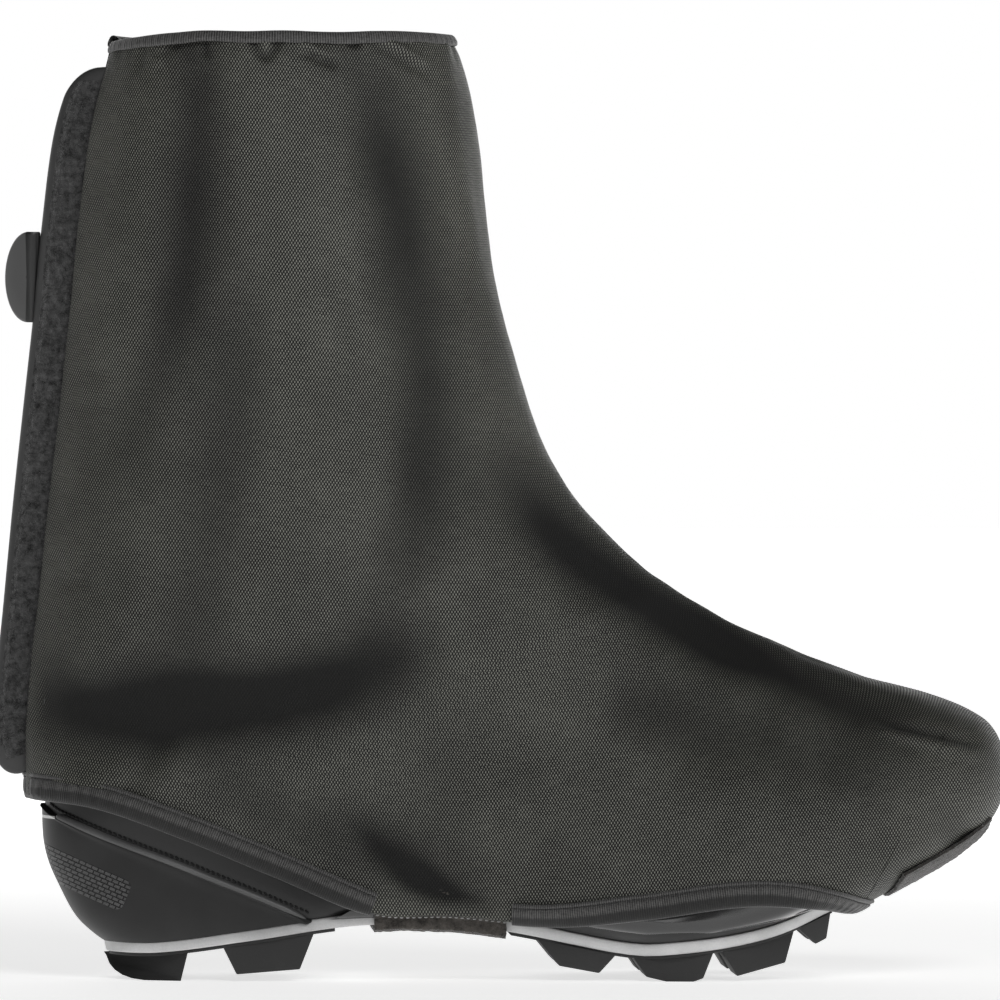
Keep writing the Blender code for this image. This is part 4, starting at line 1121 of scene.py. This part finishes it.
Knot = namedtuple("Knot", "across bulge out")
FLAP_KNOTS = [
    Knot(-0.62, 0.13, -0.38), Knot(-0.52, 0.48, -0.22), Knot(-0.34, 0.80, 0.01),
    Knot(-0.03, 0.92, 0.09), Knot(0.34, 0.66, 0.13), Knot(0.72, 0.22, 0.17),
]
TUCKED_KNOTS = (1.0, 0.55, 0.05)
LAPPED_KNOTS = (0.22, 0.65, 1.0)
FLAP_LAST = len(TUCKED_KNOTS) + len(FLAP_KNOTS) + len(LAPPED_KNOTS) - 1


def closure_rise(place):
    """Share of its full bulge that the closure has at a section; its ends are quarter rounds."""
    here = section(place, False)[2]
    top = section(CLOSURE_TOP, False)[2]
    bottom = section(CLOSURE_BOTTOM, False)[2]
    reach = min((here - top).length, (here - bottom).length) / FLAP_END_ROUND
    if reach >= 1:
        return 1.0
    return math.sqrt(1 - (1 - reach) ** 2)


def turn_at(place, y):
    """Turn near the back where the form lies at y from its middle."""
    row = section(place, False)[0]
    share = min(abs(y) / (row.half * BALL_HALF), 1.0)
    return math.copysign(math.pi - math.asin(share ** (row.under / 2)), y)


@lru_cache(maxsize=None)
def closure_profile(place):
    """Outer face of the flap across the back, from inside the outer panel to outside the inner one."""
    row, front, back = section(place, False)
    out = (back - front).normalized()
    half = max(slot_half(place), FLAP_LEAST_HALF)
    rise = closure_rise(place)
    points = []
    for share in TUCKED_KNOTS:
        points.append(surface(place, turn_at(place, -half - share * FLAP_TUCK), -FLAP_DEPTH))
    for knot in FLAP_KNOTS:
        height = FLAP_BULGE * (knot.out + knot.bulge * rise)
        points.append(Vector((back.x + out.x * height, row.lean * BALL_HALF + knot.across * half,
                              back.y + out.y * height)))
    for share in LAPPED_KNOTS:
        points.append(surface(place, turn_at(place, half + share * FLAP_TUCK), 0.0003 + FLAP_WALL))
    return points


def flap_point(place, at):
    """Point of the flap's face at a fractional column."""
    points = closure_profile(place)
    return Vector([smooth([point[axis] for point in points], at) for axis in range(3)])


def closure_rows():
    """Sections of the closure, closer at its round ends."""
    count = 190
    middle = (CLOSURE_TOP + CLOSURE_BOTTOM) / 2
    reach = (CLOSURE_BOTTOM - CLOSURE_TOP) / 2
    return [middle - reach * math.sin(math.pi / 2 * math.cos(math.pi * index / (count - 1)))
            for index in range(count)]


def flap_normal(place, at):
    """Outward normal of the flap's face, steady at its round ends."""
    place = min(max(place, CLOSURE_TOP + END_MARGIN), CLOSURE_BOTTOM - END_MARGIN)
    step = 0.04
    low = max(place - step, CLOSURE_TOP)
    high = min(place + step, CLOSURE_BOTTOM)
    down = flap_point(high, at) - flap_point(low, at)
    around = flap_point(place, min(at + 0.1, FLAP_LAST)) - flap_point(place, max(at - 0.1, 0.0))
    normal = down.cross(around)
    if normal.length < 1e-12:
        return Vector((-1.0, 0.0, 0.0))
    normal.normalize()
    return normal if normal.x < 0 or abs(normal.x) < 0.3 and normal.y * (at - FLAP_LAST / 2) > 0 else -normal


def make_flap():
    """Padded flap over the rear opening."""
    rows = []
    for place in closure_rows():
        row = []
        for at in spread(0.0, FLAP_LAST, 56):
            soft = 0.25 * MM * noise.noise(Vector((place * 2.3, at * 0.8, 5.0)))
            row.append(flap_point(place, at) + flap_normal(place, at) * soft)
        inner = [flap_point(place, at) - flap_normal(place, at) * FLAP_WALL
                 for at in spread(FLAP_LAST, 0.0, 30)]
        rows.append(row + inner)
    mesh = grid_mesh("rear_flap", rows, closed=True, weld=WELD, outward=True)
    piece("rear_flap", mesh, FLAP, ("closure_flap",))


TAPE_END = 6.0
PILE_END = 4.75
PILE_START = 2.6
PILE_COLUMNS = 36
TAPE_MARGIN = 0.22
LOOP_MARGIN = 0.5
LOOP_COUNT = 5200
LOOP_SEED = 11


def places_inside(margin):
    """Sections of the closure that lie a margin inside its ends."""
    return [place for place in closure_rows() if CLOSURE_TOP + margin < place < CLOSURE_BOTTOM - margin]


def make_tape():
    """Loop tape on the flap beside the outer panel: a fuzzy uneven face and a thin smooth border."""
    rows = []
    cores = []
    columns = spread(0.0, PILE_END, PILE_COLUMNS) + spread(PILE_END + 0.12, TAPE_END, 12)
    for place in places_inside(TAPE_MARGIN):
        row = []
        for at in columns:
            spot = flap_point(place, at)
            normal = flap_normal(place, at)
            near_end = (min(place - CLOSURE_TOP, CLOSURE_BOTTOM - place) - TAPE_MARGIN) / 0.4
            edge = max(min((PILE_END - at) / 0.25, 1.0, near_end), 0.0)
            fuzz = 0.22 * noise.noise(spot * 1400) + 0.12 * noise.noise(spot * 3300)
            lift = 0.18 * max(min(near_end, 1.0), 0.0) + 0.85 * math.sqrt(edge) + fuzz * edge
            row.append(spot + normal * (lift * MM))
        rows.append(row)
        cores.append(core_point(place))
    mesh = grid_mesh("fuzzy_tape", rows, cores)
    piece("fuzzy_tape", mesh, TAPE, ("loop_tape",))
    mesh.materials.append(FLAP)
    columns_across = len(columns) - 1
    for polygon in mesh.polygons:
        if polygon.index % columns_across > PILE_COLUMNS:
            polygon.material_index = 1


def make_pile_loops():
    """Short fibre loops that stand out of the tape."""
    chance = random.Random(LOOP_SEED)
    build = bmesh.new()
    places = places_inside(LOOP_MARGIN)
    for _ in range(LOOP_COUNT):
        place = chance.choice(places)
        at = chance.uniform(PILE_START, PILE_END - 0.02)
        spot = flap_point(place, at) + SHIFT
        normal = flap_normal(place, at)
        angle = chance.uniform(0, 2 * math.pi)
        along = Vector((0, math.cos(angle), math.sin(angle)))
        along = (along - normal * along.dot(normal)).normalized()
        across = along.cross(normal)
        size = chance.uniform(0.35, 0.75) * MM
        tall = chance.uniform(0.9, 1.55) * MM
        width = 0.05 * MM
        previous = None
        for step in range(6):
            share = step / 5
            lift = tall * math.sin(math.pi * share) ** 0.6
            middle = spot + along * ((share - 0.5) * size) + normal * (0.5 * MM + lift * 0.62)
            pair = (build.verts.new(middle - across * width), build.verts.new(middle + across * width))
            if previous:
                build.faces.new((previous[0], previous[1], pair[1], pair[0]))
            previous = pair
    piece("tape_loops", mesh_of(build, "tape_loops"), TAPE, ())


TAB_RADIUS = 0.014
TAB_HALF_WALL = 0.0007
TAB_OUT = 0.0012
TAB_TURN = math.radians(60)
TAB_ROOT = Vector((0.0032, 0.0012, 0.0))
TAB_SEAT = Vector((-0.0002, 0.0008, 0.0))

# Share of the tab's radius and half its wall in mm, from the root to the rounded rim
TAB_EDGE = [(0.0, 0.9), (0.04, 0.9), (0.5, 0.9), (0.93, 0.9), (0.96, 0.85), (0.99, 0.6), (1.0, 0.3)]


def make_tab():
    """Flat half-round pull tab with a rounded edge."""
    low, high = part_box("pull_tab")
    middle = Vector((high[0], low[1], (low[2] + high[2]) / 2)) - SHIFT + TAB_SEAT
    out = Vector((-math.cos(TAB_TURN), math.sin(TAB_TURN), 0))
    side = out.cross(Vector((0, 0, 1)))
    rows = []
    outline = spread(-math.pi / 2, math.pi / 2, 49)
    for reach, wall in TAB_EDGE + [(reach, -wall) for reach, wall in reversed(TAB_EDGE)]:
        row = []
        for angle in outline:
            round_x = math.cos(angle) * TAB_RADIUS * reach
            round_z = math.sin(angle) * TAB_RADIUS * reach
            row.append(middle + out * (TAB_OUT + round_x) + Vector((0, 0, round_z))
                       + side * (TAB_HALF_WALL * wall))
        rows.append(row)
    for row in rows:
        row.insert(0, row[0] + TAB_ROOT)
        row.append(row[-1] + TAB_ROOT)
    mesh = grid_mesh("tab_disc", rows, weld=0.000002, outward=True)
    piece("tab_disc", mesh, TAB, ("pull_tab",))


make_flap()
make_tape()
make_pile_loops()
make_tab()


# Shoe inside

SHOE_SEAT = 0.0002
SHOE_WALL = 0.0022
ROLL_WALL = 0.0026
ROLL_HEIGHT = 0.0012
TOPLINE_HEEL = 8.1
TOPLINE_FRONT = 0.5
TOPLINE_DIP = 0.75


def seat_line(x):
    """Height of the shoe upper's lower edge on the plate."""
    return feather_line(x) + SHOE_SEAT


SHOE_HEEL = meeting(seat_line, 11.0, 13.5, -SHOE_DEPTH, True)
SHOE_TOE = meeting(seat_line, TOE, TOE - 3.5, -SHOE_DEPTH, True)


def shoe_surface(place, turn, height=0.0):
    """Point at a height over the shoe's outer face."""
    return surface(place, turn, height - SHOE_DEPTH, True)


def shoe_crossing(place, line):
    """Turn where a section of the shoe passes below a side line."""
    return crossing(place, line, -SHOE_DEPTH, True)


def topline(turn):
    """Place of the shoe's collar edge: high at the heel and the tongue, dipped at the ankle."""
    angle = abs(turn)
    front_share = (1 + math.cos(angle)) / 2
    return TOPLINE_HEEL + TOPLINE_FRONT * front_share + TOPLINE_DIP * math.sin(angle) ** 2


def shoe_halves(columns, outer):
    """Rows of one half of the shoe's upper from its collar to its toe; outer is the outer or inner face."""
    depth = 0.0 if outer else -SHOE_WALL
    rows = []
    cores = []
    for share in spread(0.0, 0.985, 60):
        row = []
        for turn in spaced_turns(9.0, 0.0, math.pi, columns, True):
            place = topline(turn) + (SHOE_HEEL - topline(turn)) * share
            swell = 0.0003 * math.exp(-((share - 0.1) / 0.09) ** 2)
            row.append((place, turn, depth + swell))
        rows.append(row)
        cores.append(core_point(8.9 + (SHOE_HEEL - 8.9) * share, True))
    for place in spread(SHOE_HEEL, SHOE_TOE, 150):
        end = shoe_crossing(place, seat_line)
        rows.append([(place, turn, depth) for turn in spaced_turns(place, 0.0, end, columns, True)])
        cores.append(core_point(place, True))
    return rows, cores


def make_shoe():
    """Shoe's upper, outer and inner face, with a padded collar."""
    for name, outer, nodes in (("shoe_shell", True, ("shoe_upper",)), ("shoe_lining", False, ())):
        rows, cores = shoe_halves(56 if outer else 28, outer)
        points = []
        for row in rows:
            near = [shoe_surface(place, -turn, depth) for place, turn, depth in row[:0:-1]]
            far = [shoe_surface(place, turn, depth) for place, turn, depth in row]
            points.append(near + far)
        mesh = grid_mesh(name, points, cores, weld=WELD)
        if not outer:
            mesh.flip_normals()
        piece(name, mesh, SHOE if outer else LINING, nodes)
    rim = []
    for turn in spread(-math.pi, math.pi, 181):
        place = topline(turn)
        outer = shoe_surface(place, turn)
        inner = shoe_surface(place, turn, -ROLL_WALL)
        up = Vector((0, 0, ROLL_HEIGHT))
        rim.append([outer - up, outer + up * 0.4, outer.lerp(inner, 0.5) + up, inner + up * 0.4, inner - up])
    piece("shoe_collar_roll", grid_mesh("shoe_collar_roll", rim, outward=True), SHOE, ())


def make_side_patch(name, upper, lower, places, columns, height, material, nodes, shape):
    """Two mirrored raised panels on the shoe between two side lines, as one piece."""
    panels = []
    for place in places:
        bottom = shoe_crossing(place, lower)
        top = min(shoe_crossing(place, upper), bottom)
        raised = [(top + (bottom - top) * share, height + shape(share, bottom - top))
                  for share in spread(0.0, 1.0, columns)]
        panels.append((place, [(top, 0.0), *raised, (bottom, 0.0)]))
    cores = [core_point(place, True) for place in places]
    build = bmesh.new()
    for side in (-1, 1):
        half = [[shoe_surface(place, side * turn, out) for turn, out in line[::side]]
                for place, line in panels]
        mesh = grid_mesh(name, half, cores)
        build.from_mesh(mesh)
        bpy.data.meshes.remove(mesh)
    bmesh.ops.remove_doubles(build, verts=build.verts, dist=WELD)
    piece(name, mesh_of(build, name), material, nodes)


def line_on_shoe(places, side, line, height, step):
    """Even path along a side line of the shoe, with its normals."""
    path = []
    normals = []
    for place in places:
        turn = side * shoe_crossing(place, line)
        path.append(shoe_surface(place, turn, height))
        normals.append(form_normal(place, turn, True))
    return even_path(path, normals, step)


COUNTER_START = meeting(counter_line, 8.6, 10.5, -SHOE_DEPTH, True)
COUNTER_RISE = 0.0010
LIP_RISE = 0.0011
LIP_TURN = 0.028
STITCH_RISE = 0.0003
STITCH_DISTANCE = 0.0021
STITCH_PITCH = 0.0017


def make_counter():
    """Heel panel with a rounded raised lip along its diagonal edge and a row of stitches above it, near black
    as painted shadow in their holes.
    """
    stop = COUNTER_START + 1.0
    while shoe_crossing(stop, feather_line) - shoe_crossing(stop, counter_line) > 0.02:
        stop += 0.05

    def lip(share, span):
        return LIP_RISE * math.exp(-((share * span / LIP_TURN - 1.0) / 0.75) ** 2)

    make_side_patch("heel_panel", counter_line, seat_line, spread(COUNTER_START, stop, 120), 44, COUNTER_RISE,
                    COUNTER, ("heel_counter",), lip)
    spots = []
    slant = Vector((0, 0, 0.3 * MM))
    for side in (-1, 1):
        path, normals = line_on_shoe(spread(COUNTER_START + 0.02, stop - 0.4, 90), side,
                                     lambda x: counter_line(x) + STITCH_DISTANCE, STITCH_RISE, STITCH_PITCH)
        for here, ahead, normal in zip(path, path[1:], normals):
            spots.append((here.lerp(ahead, 0.1) + slant, here.lerp(ahead, 0.8) - slant, normal))
    # Stitches painted near black: thread plus painted shadow in their holes
    stitches("counter_stitches", spots, 0.32 * MM, STITCH_AND_HOLE_SHADOW)


def line_between(points):
    """Side line straight between points in mm."""
    def height(x):
        at = x / MM
        for (x0, z0), (x1, z1) in zip(points, points[1:]):
            if at <= x1 or (x1, z1) == points[-1]:
                share = min(max((at - x0) / (x1 - x0), 0.0), 1.0)
                return (z0 + (z1 - z0) * share) * MM
        return points[-1][1] * MM
    return height


PIPING_END = 0.0815
PIPING_PLACES = (9.5, 16.5)
PIPING_RISE = 0.0009
PIPING_STEP = 0.0012
PIPING_RIM = [(-0.6, -1.25), (0.45, -1.05), (1.0, -0.55), (1.15, 0.0), (1.0, 0.55), (0.45, 1.05),
              (-0.6, 1.25)]


def make_piping():
    """Round moulded edge along the heel panel."""
    places = spread(COUNTER_START + 0.25, place_on_shoe(PIPING_END), 80)
    for side, end in ((-1, "_near"), (1, "_far")):
        path, normals = line_on_shoe(places, side, counter_line, PIPING_RISE, PIPING_STEP)

        def profile(index, travelled, last=len(path) - 1):
            thick = min(index / 2, (last - index) / 6, 1.0) ** 0.5
            return [(out * thick, down * thick) for out, down in PIPING_RIM]

        sweep("heel_piping" + end, path, edge_frames(path, normals, 1), profile, PIPING)


def place_on_shoe(x):
    """Place whose section meets the heel panel's edge at x."""
    return halve(*PIPING_PLACES, lambda place: shoe_surface(place, shoe_crossing(place, counter_line)).x < x)


LENS_PLACES = (14.6, 21.2)
LENS_RISE = 0.0006
LENS_BULGE = 0.0010
LENS_TOP = [(158, 23.0), (175, 27.0), (200, 30.0), (228, 31.0), (240, 30.5)]
LENS_BOTTOM = [(158, 19.6), (170, 16.6), (186, 14.6), (205, 15.2), (225, 19.0), (240, 23.0)]


def make_lens():
    """Glossy moulded bumper of the forefoot."""
    def bulge(share, span):
        return LENS_BULGE * math.sin(math.pi * share) ** 0.8

    make_side_patch("forefoot_gloss", line_between(LENS_TOP), line_between(LENS_BOTTOM),
                    spread(*LENS_PLACES, 110), 20, LENS_RISE, LENS, (), bulge)


make_shoe()
make_counter()
make_piping()
make_lens()


# Sole

def rim(offset, line, count):
    """Pairs of near and far points where the form, moved by offset, meets a side line."""
    heel = meeting(line, 11.0, 13.8, offset, True)
    toe = meeting(line, TOE, TOE - 3.5, offset, True)
    pairs = []
    for index in range(count):
        share = (1 - math.cos(math.pi * index / (count - 1))) / 2
        place = heel + (toe - heel) * share
        turn = math.pi if index in (0, count - 1) else crossing(place, line, offset, True)
        near = surface(place, -turn, offset, True)
        far = surface(place, turn, offset, True)
        if turn == math.pi:
            near = far = (near + far) / 2
        pairs.append((near, far))
    return pairs


def pull_in(pairs, margin):
    """Rim pairs moved in from the outline by margin."""
    result = []
    last = len(pairs) - 1
    for index, (near, far) in enumerate(pairs):
        if index in (0, last):
            shift = Vector((margin if index == 0 else -margin, 0, 0))
            result.append((near + shift, far + shift))
            continue
        moved = []
        for side, point in ((0, near), (1, far)):
            ahead = pairs[index + 1][side] - pairs[index - 1][side]
            inward = Vector((-ahead.y, ahead.x, 0)).normalized() * (1 if side == 0 else -1)
            moved.append(point + inward * margin)
        if moved[1].y - moved[0].y > margin and result[-1][0].x < moved[0].x:
            result.append(tuple(moved))
    return result


def rim_at(pairs, x):
    """Near and far rim points at x, read from the pairs."""
    for before, after in zip(pairs, pairs[1:]):
        if before[0].x <= x <= after[0].x and after[0].x > before[0].x:
            share = (x - before[0].x) / (after[0].x - before[0].x)
            return before[0].lerp(after[0], share), before[1].lerp(after[1], share)
    return pairs[0] if x < pairs[0][0].x else pairs[-1]


def ring_of(pairs):
    """Closed outline of rim pairs, out along the near side and back along the far one."""
    return [near for near, _ in pairs] + [far for _, far in pairs[-2:0:-1]]


# Share of the plate's thickness from its top and pull towards its middle line
PLATE_EDGE = [(0.0, 0.5), (0.0, 0.06), (0.0, 0.015), (0.12, 0.0), (0.5, -0.004), (0.86, 0.0), (1.0, 0.015),
              (1.0, 0.08), (1.0, 0.5)]


def make_plate():
    """Light plate with rounded edges."""
    count = 130
    top = rim(-SHOE_DEPTH + PLATE_LIP, feather_line, count)
    under = rim(-PLATE_UNDER_DEPTH, lambda x: feather_line(x) - PLATE_THICKNESS, count)
    rings = []
    middle_line = [((a + b) / 2, (c + d) / 2) for (a, b), (c, d) in zip(top, under)]
    top_ring = ring_of(top)
    under_ring = ring_of(under)
    centre_top = ring_of([(a, a) for a, _ in middle_line])
    centre_under = ring_of([(b, b) for _, b in middle_line])
    for share, pull in PLATE_EDGE:
        ring = []
        for a, b, centre_a, centre_b in zip(top_ring, under_ring, centre_top, centre_under):
            spot = a.lerp(b, share)
            centre = centre_a.lerp(centre_b, share)
            ring.append(spot.lerp(centre, pull))
        rings.append(ring)
    mesh = grid_mesh("sole_plate", rings, closed=True)
    close_ends(mesh)
    piece("sole_plate", mesh, PLATE, ("midsole_plate",))
    return top, under


def close_ends(mesh):
    """Fill open loops and turn all faces outwards."""
    build = bmesh.new()
    build.from_mesh(mesh)
    edges = [edge for edge in build.edges if edge.is_boundary]
    bmesh.ops.holes_fill(build, edges=edges, sides=0)
    bmesh.ops.triangulate(build, faces=[face for face in build.faces if len(face.verts) > 4])
    bmesh.ops.remove_doubles(build, verts=build.verts, dist=WELD)
    bmesh.ops.recalc_face_normals(build, faces=build.faces)
    build.to_mesh(mesh)
    build.free()


BEVEL = 0.00045


def lug_mesh(build, outline, pairs, side):
    """One lug with bevelled edges, its top inside the rubber sheet."""
    body = bmesh.new()
    outer = []
    inner = []
    for station in outline:
        x = station.x * LENGTH
        z = level(station.z)
        near, far = rim_at(pairs, x)
        base = near.z - BASE_THICKNESS
        depth = max(base - z, 0.0)
        edge = near if side < 0 else far
        middle = (near.y + far.y) / 2
        reach = abs(edge.y - middle) - depth * LUG_TAPER
        core = min(CHANNEL_HALF + depth * LUG_TAPER, reach * 0.5)
        height = z if depth > 0 else base + 0.0009
        outer.append(body.verts.new((x, middle + side * reach, height)))
        inner.append(body.verts.new((x, middle + side * core, height)))
    count = len(outline)
    body.faces.new(outer)
    body.faces.new(inner[::-1])
    for index in range(count):
        follow = (index + 1) % count
        body.faces.new((outer[follow], outer[index], inner[index], inner[follow]))
    bmesh.ops.recalc_face_normals(body, faces=body.faces)
    bmesh.ops.bevel(body, geom=body.edges, offset=BEVEL, segments=2, profile=0.6, affect="EDGES",
                    clamp_overlap=True)
    mesh = mesh_of(body, "lug")
    build.from_mesh(mesh)
    bpy.data.meshes.remove(mesh)


def make_outsole(name, node, pairs, start, end, lugs):
    """Rubber sheet with its lugs."""
    kept = [rim_at(pairs, start)] if start > pairs[0][0].x else []
    kept += [pair for pair in pairs if start < pair[0].x < end]
    if end < pairs[-1][0].x:
        kept.append(rim_at(pairs, end))
    rings = []
    drop = Vector((0, 0, -BASE_THICKNESS))
    for lift, pull in ((0.0, 0.02), (0.0, 0.0), (0.45, 0.0), (0.6, 0.012)):
        ring = []
        for near, far in kept:
            centre = (near + far) / 2
            ring.append((near.lerp(centre, pull) + drop * lift, far.lerp(centre, pull) + drop * lift))
        rings.append([near for near, _ in ring] + [far for _, far in ring[::-1]])
    mesh = grid_mesh(name, rings, closed=True)
    close_ends(mesh)
    build = bmesh.new()
    for outline in lugs:
        for side in (-1, 1):
            lug_mesh(build, outline, pairs, side)
    bmesh.ops.translate(build, verts=build.verts, vec=SHIFT)
    build.from_mesh(mesh)
    build.to_mesh(mesh)
    build.free()
    piece(name, mesh, RUBBER, (node,))
    mesh.set_sharp_from_angle(angle=math.radians(38))


INSOLE_MARGIN = 0.0058
INSOLE_HEIGHT = 0.0032
INSOLE_CUP = 0.0022


def make_sole():
    """Plate, outsoles and the insole."""
    top, under = make_plate()
    gap = Vector((0, 0, -SHOE_SEAT))
    base = [(near + gap, far + gap) for near, far in pull_in(under, BASE_MARGIN)]
    make_outsole("heel_rubber", "outsole_heel", base, 0.0, HEEL_BASE_END, HEEL_LUGS)
    make_outsole("forefoot_rubber", "outsole_front", base, FRONT_BASE_START, FRONT_BASE_END, FRONT_LUGS)
    rows = []
    for near, far in pull_in(top, INSOLE_MARGIN):
        row = []
        for share in spread(0.0, 1.0, 15):
            cup = INSOLE_CUP * (2 * share - 1) ** 4
            row.append(near.lerp(far, share) + Vector((0, 0, INSOLE_HEIGHT + cup)))
        rows.append(row)
    piece("insole_sheet", grid_mesh("insole_sheet", rows), FOAM, ("insole",))


make_sole()


# Strap and guard

def dressed(node, name, material, rounds, fuzz, scale):
    """Copy of a solid with its edges softened and a fuzzy face."""
    build = bmesh.new()
    build.from_mesh(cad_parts[node].data)
    bmesh.ops.remove_doubles(build, verts=build.verts, dist=0.00001)
    mesh = mesh_of(build, name)
    thing = piece(name, mesh, material, (node,))
    split = thing.modifiers.new("finer", "SUBSURF")
    split.subdivision_type = "SIMPLE"
    split.levels = rounds
    split.render_levels = rounds
    bpy.context.view_layer.update()
    ready = thing.evaluated_get(bpy.context.evaluated_depsgraph_get())
    fine = bpy.data.meshes.new_from_object(ready)
    thing.modifiers.clear()
    thing.data = fine
    normals = [vertex.normal.copy() for vertex in fine.vertices]
    places = []
    for vertex, normal in zip(fine.vertices, normals):
        spot = vertex.co * scale
        places.extend(vertex.co + normal * (fuzz * (noise.noise(spot) + 0.5 * noise.noise(spot * 2.3))))
    fine.vertices.foreach_set("co", places)
    fine.shade_smooth()


dressed("underfoot_strap", "brushed_strap", STRAP, 3, 0.00022, 900)
dressed("toe_guard", "felt_guard", GUARD, 3, 0.00025, 900)


STRAP_STITCHES = 22


def make_strap_stitches():
    """Pale stitches along the strap's upper edge, just under the hem."""
    spots = []
    for side in (-1, 1):
        for index in range(STRAP_STITCHES):
            x = STRAP_FRONT - STRAP_WIDTH + STRAP_WIDTH * (index + 0.2) / STRAP_STITCHES
            place = place_at(x, hem_line)
            turn = side * crossing(place, hem_line)
            normal = form_normal(place, turn)
            start = form_point(place, turn) - normal * 0.0012 - Vector((0, 0, 0.0012))
            spots.append((start, start + Vector((STRAP_WIDTH / STRAP_STITCHES * 0.6, 0, 0)), normal))
    stitches("strap_stitches", spots, 0.2 * MM, PALE_THREAD)


make_strap_stitches()


# Stage, light and camera

FLOOR_HALF = 60.0
PIXEL = 0.31 * MM
FRAME_PIXELS = 1000
FLOOR_ROW = 976
CAMERA_DISTANCE = 3.0
CAMERA_TURN = math.radians(-2.5)
HEEL_COLUMN = 40
CENTRE_X = (FRAME_PIXELS / 2 - HEEL_COLUMN) * PIXEL


def make_stage():
    """Pale floor that glows, less near the shoe: a painted soft shadow round it."""
    mesh = bpy.data.meshes.new("floor")
    corner = FLOOR_HALF
    mesh.from_pydata([(-corner, -corner, 0), (corner, -corner, 0), (corner, corner, 0), (-corner, corner, 0)],
                     [], [(0, 1, 2, 3)])
    finish = Finish("floor_paint", roughness=0.9, specular=0.2)
    finish.shader.inputs["Base Color"].default_value = (0.86, 0.86, 0.855, 1.0)
    finish.shader.inputs["Emission Color"].default_value = (1.0, 1.0, 1.0, 1.0)
    source = finish.tree.nodes.new("ShaderNodeTexCoord")
    reach = finish.tree.nodes.new("ShaderNodeVectorMath")
    reach.operation = "LENGTH"
    finish.tree.links.new(source.outputs["Object"], reach.inputs[0])
    # Floor glow rising from 0.66 near the middle to 1.0 beyond 1.6 m: painted light, dimmer round the shoe as
    # painted shadow.
    glow_and_painted_shadow = finish.span(reach.outputs["Value"], 0.2, 1.6, 0.66, 1.0)
    finish.join(glow_and_painted_shadow, finish.shader.inputs["Emission Strength"])
    mesh.materials.append(finish.material)
    floor = bpy.data.objects.new("floor", mesh)
    bpy.context.scene.collection.objects.link(floor)


def aim(thing, target):
    """Turn a light or camera towards a point."""
    thing.rotation_euler = (target - thing.location).to_track_quat("-Z", "Y").to_euler()


def softbox(name, spot, size, power):
    """Large soft light aimed at the shoe."""
    light = bpy.data.lights.new(name, "AREA")
    light.shape = "RECTANGLE"
    light.size = size[0]
    light.size_y = size[1]
    light.energy = power
    thing = bpy.data.objects.new(name, light)
    thing.location = spot
    bpy.context.scene.collection.objects.link(thing)
    aim(thing, Vector((0.0, 0.0, 0.13)))


def make_light():
    """Soft light from the camera's side and a pale surround that darkens overhead."""
    softbox("key", Vector((0.45, -1.7, 1.15)), (0.8, 0.7), 12.5)
    softbox("low", Vector((-0.45, -2.1, 0.35)), (0.5, 0.5), 1.2)
    softbox("side", Vector((2.0, -0.7, 0.35)), (0.4, 0.9), 4.0)
    softbox("back", Vector((0.2, 1.9, 0.6)), (1.8, 0.8), 7.0)
    world = bpy.data.worlds.new("studio")
    bpy.context.scene.world = world
    world.use_nodes = True
    tree = world.node_tree
    place = tree.nodes.new("ShaderNodeTexCoord")
    split = tree.nodes.new("ShaderNodeSeparateXYZ")
    tree.links.new(place.outputs["Generated"], split.inputs[0])

    both = tree.nodes.new("ShaderNodeMath")
    both.operation = "MULTIPLY"
    tree.links.new(smooth_range(tree, split.outputs["Z"], 0.12, 0.60, 1.0, 0.02), both.inputs[0])
    tree.links.new(smooth_range(tree, split.outputs["Y"], 0.0, 0.9, 0.10, 1.0), both.inputs[1])
    tree.links.new(both.outputs[0], tree.nodes["Background"].inputs["Strength"])
    tree.nodes["Background"].inputs["Color"].default_value = (1.0, 1.0, 1.0, 1.0)
    bpy.context.scene.view_settings.view_transform = "Standard"


def make_camera():
    """Camera at the photograph's angle: level, nearly square to the side, a little from behind."""
    data = bpy.data.cameras.new("camera")
    camera = bpy.data.objects.new("camera", data)
    bpy.context.scene.collection.objects.link(camera)
    height = (FLOOR_ROW - FRAME_PIXELS / 2) * PIXEL
    centre = Vector((CENTRE_X + SHIFT.x, 0.0, height))
    camera.location = centre + Vector((math.sin(CAMERA_TURN), -math.cos(CAMERA_TURN), 0)) * CAMERA_DISTANCE
    aim(camera, centre)
    data.sensor_width = 36.0
    data.lens = 36.0 * CAMERA_DISTANCE / (FRAME_PIXELS * PIXEL)
    data.clip_start = 0.05
    data.clip_end = 50.0
    bpy.context.scene.camera = camera


make_stage()
make_light()
make_camera()
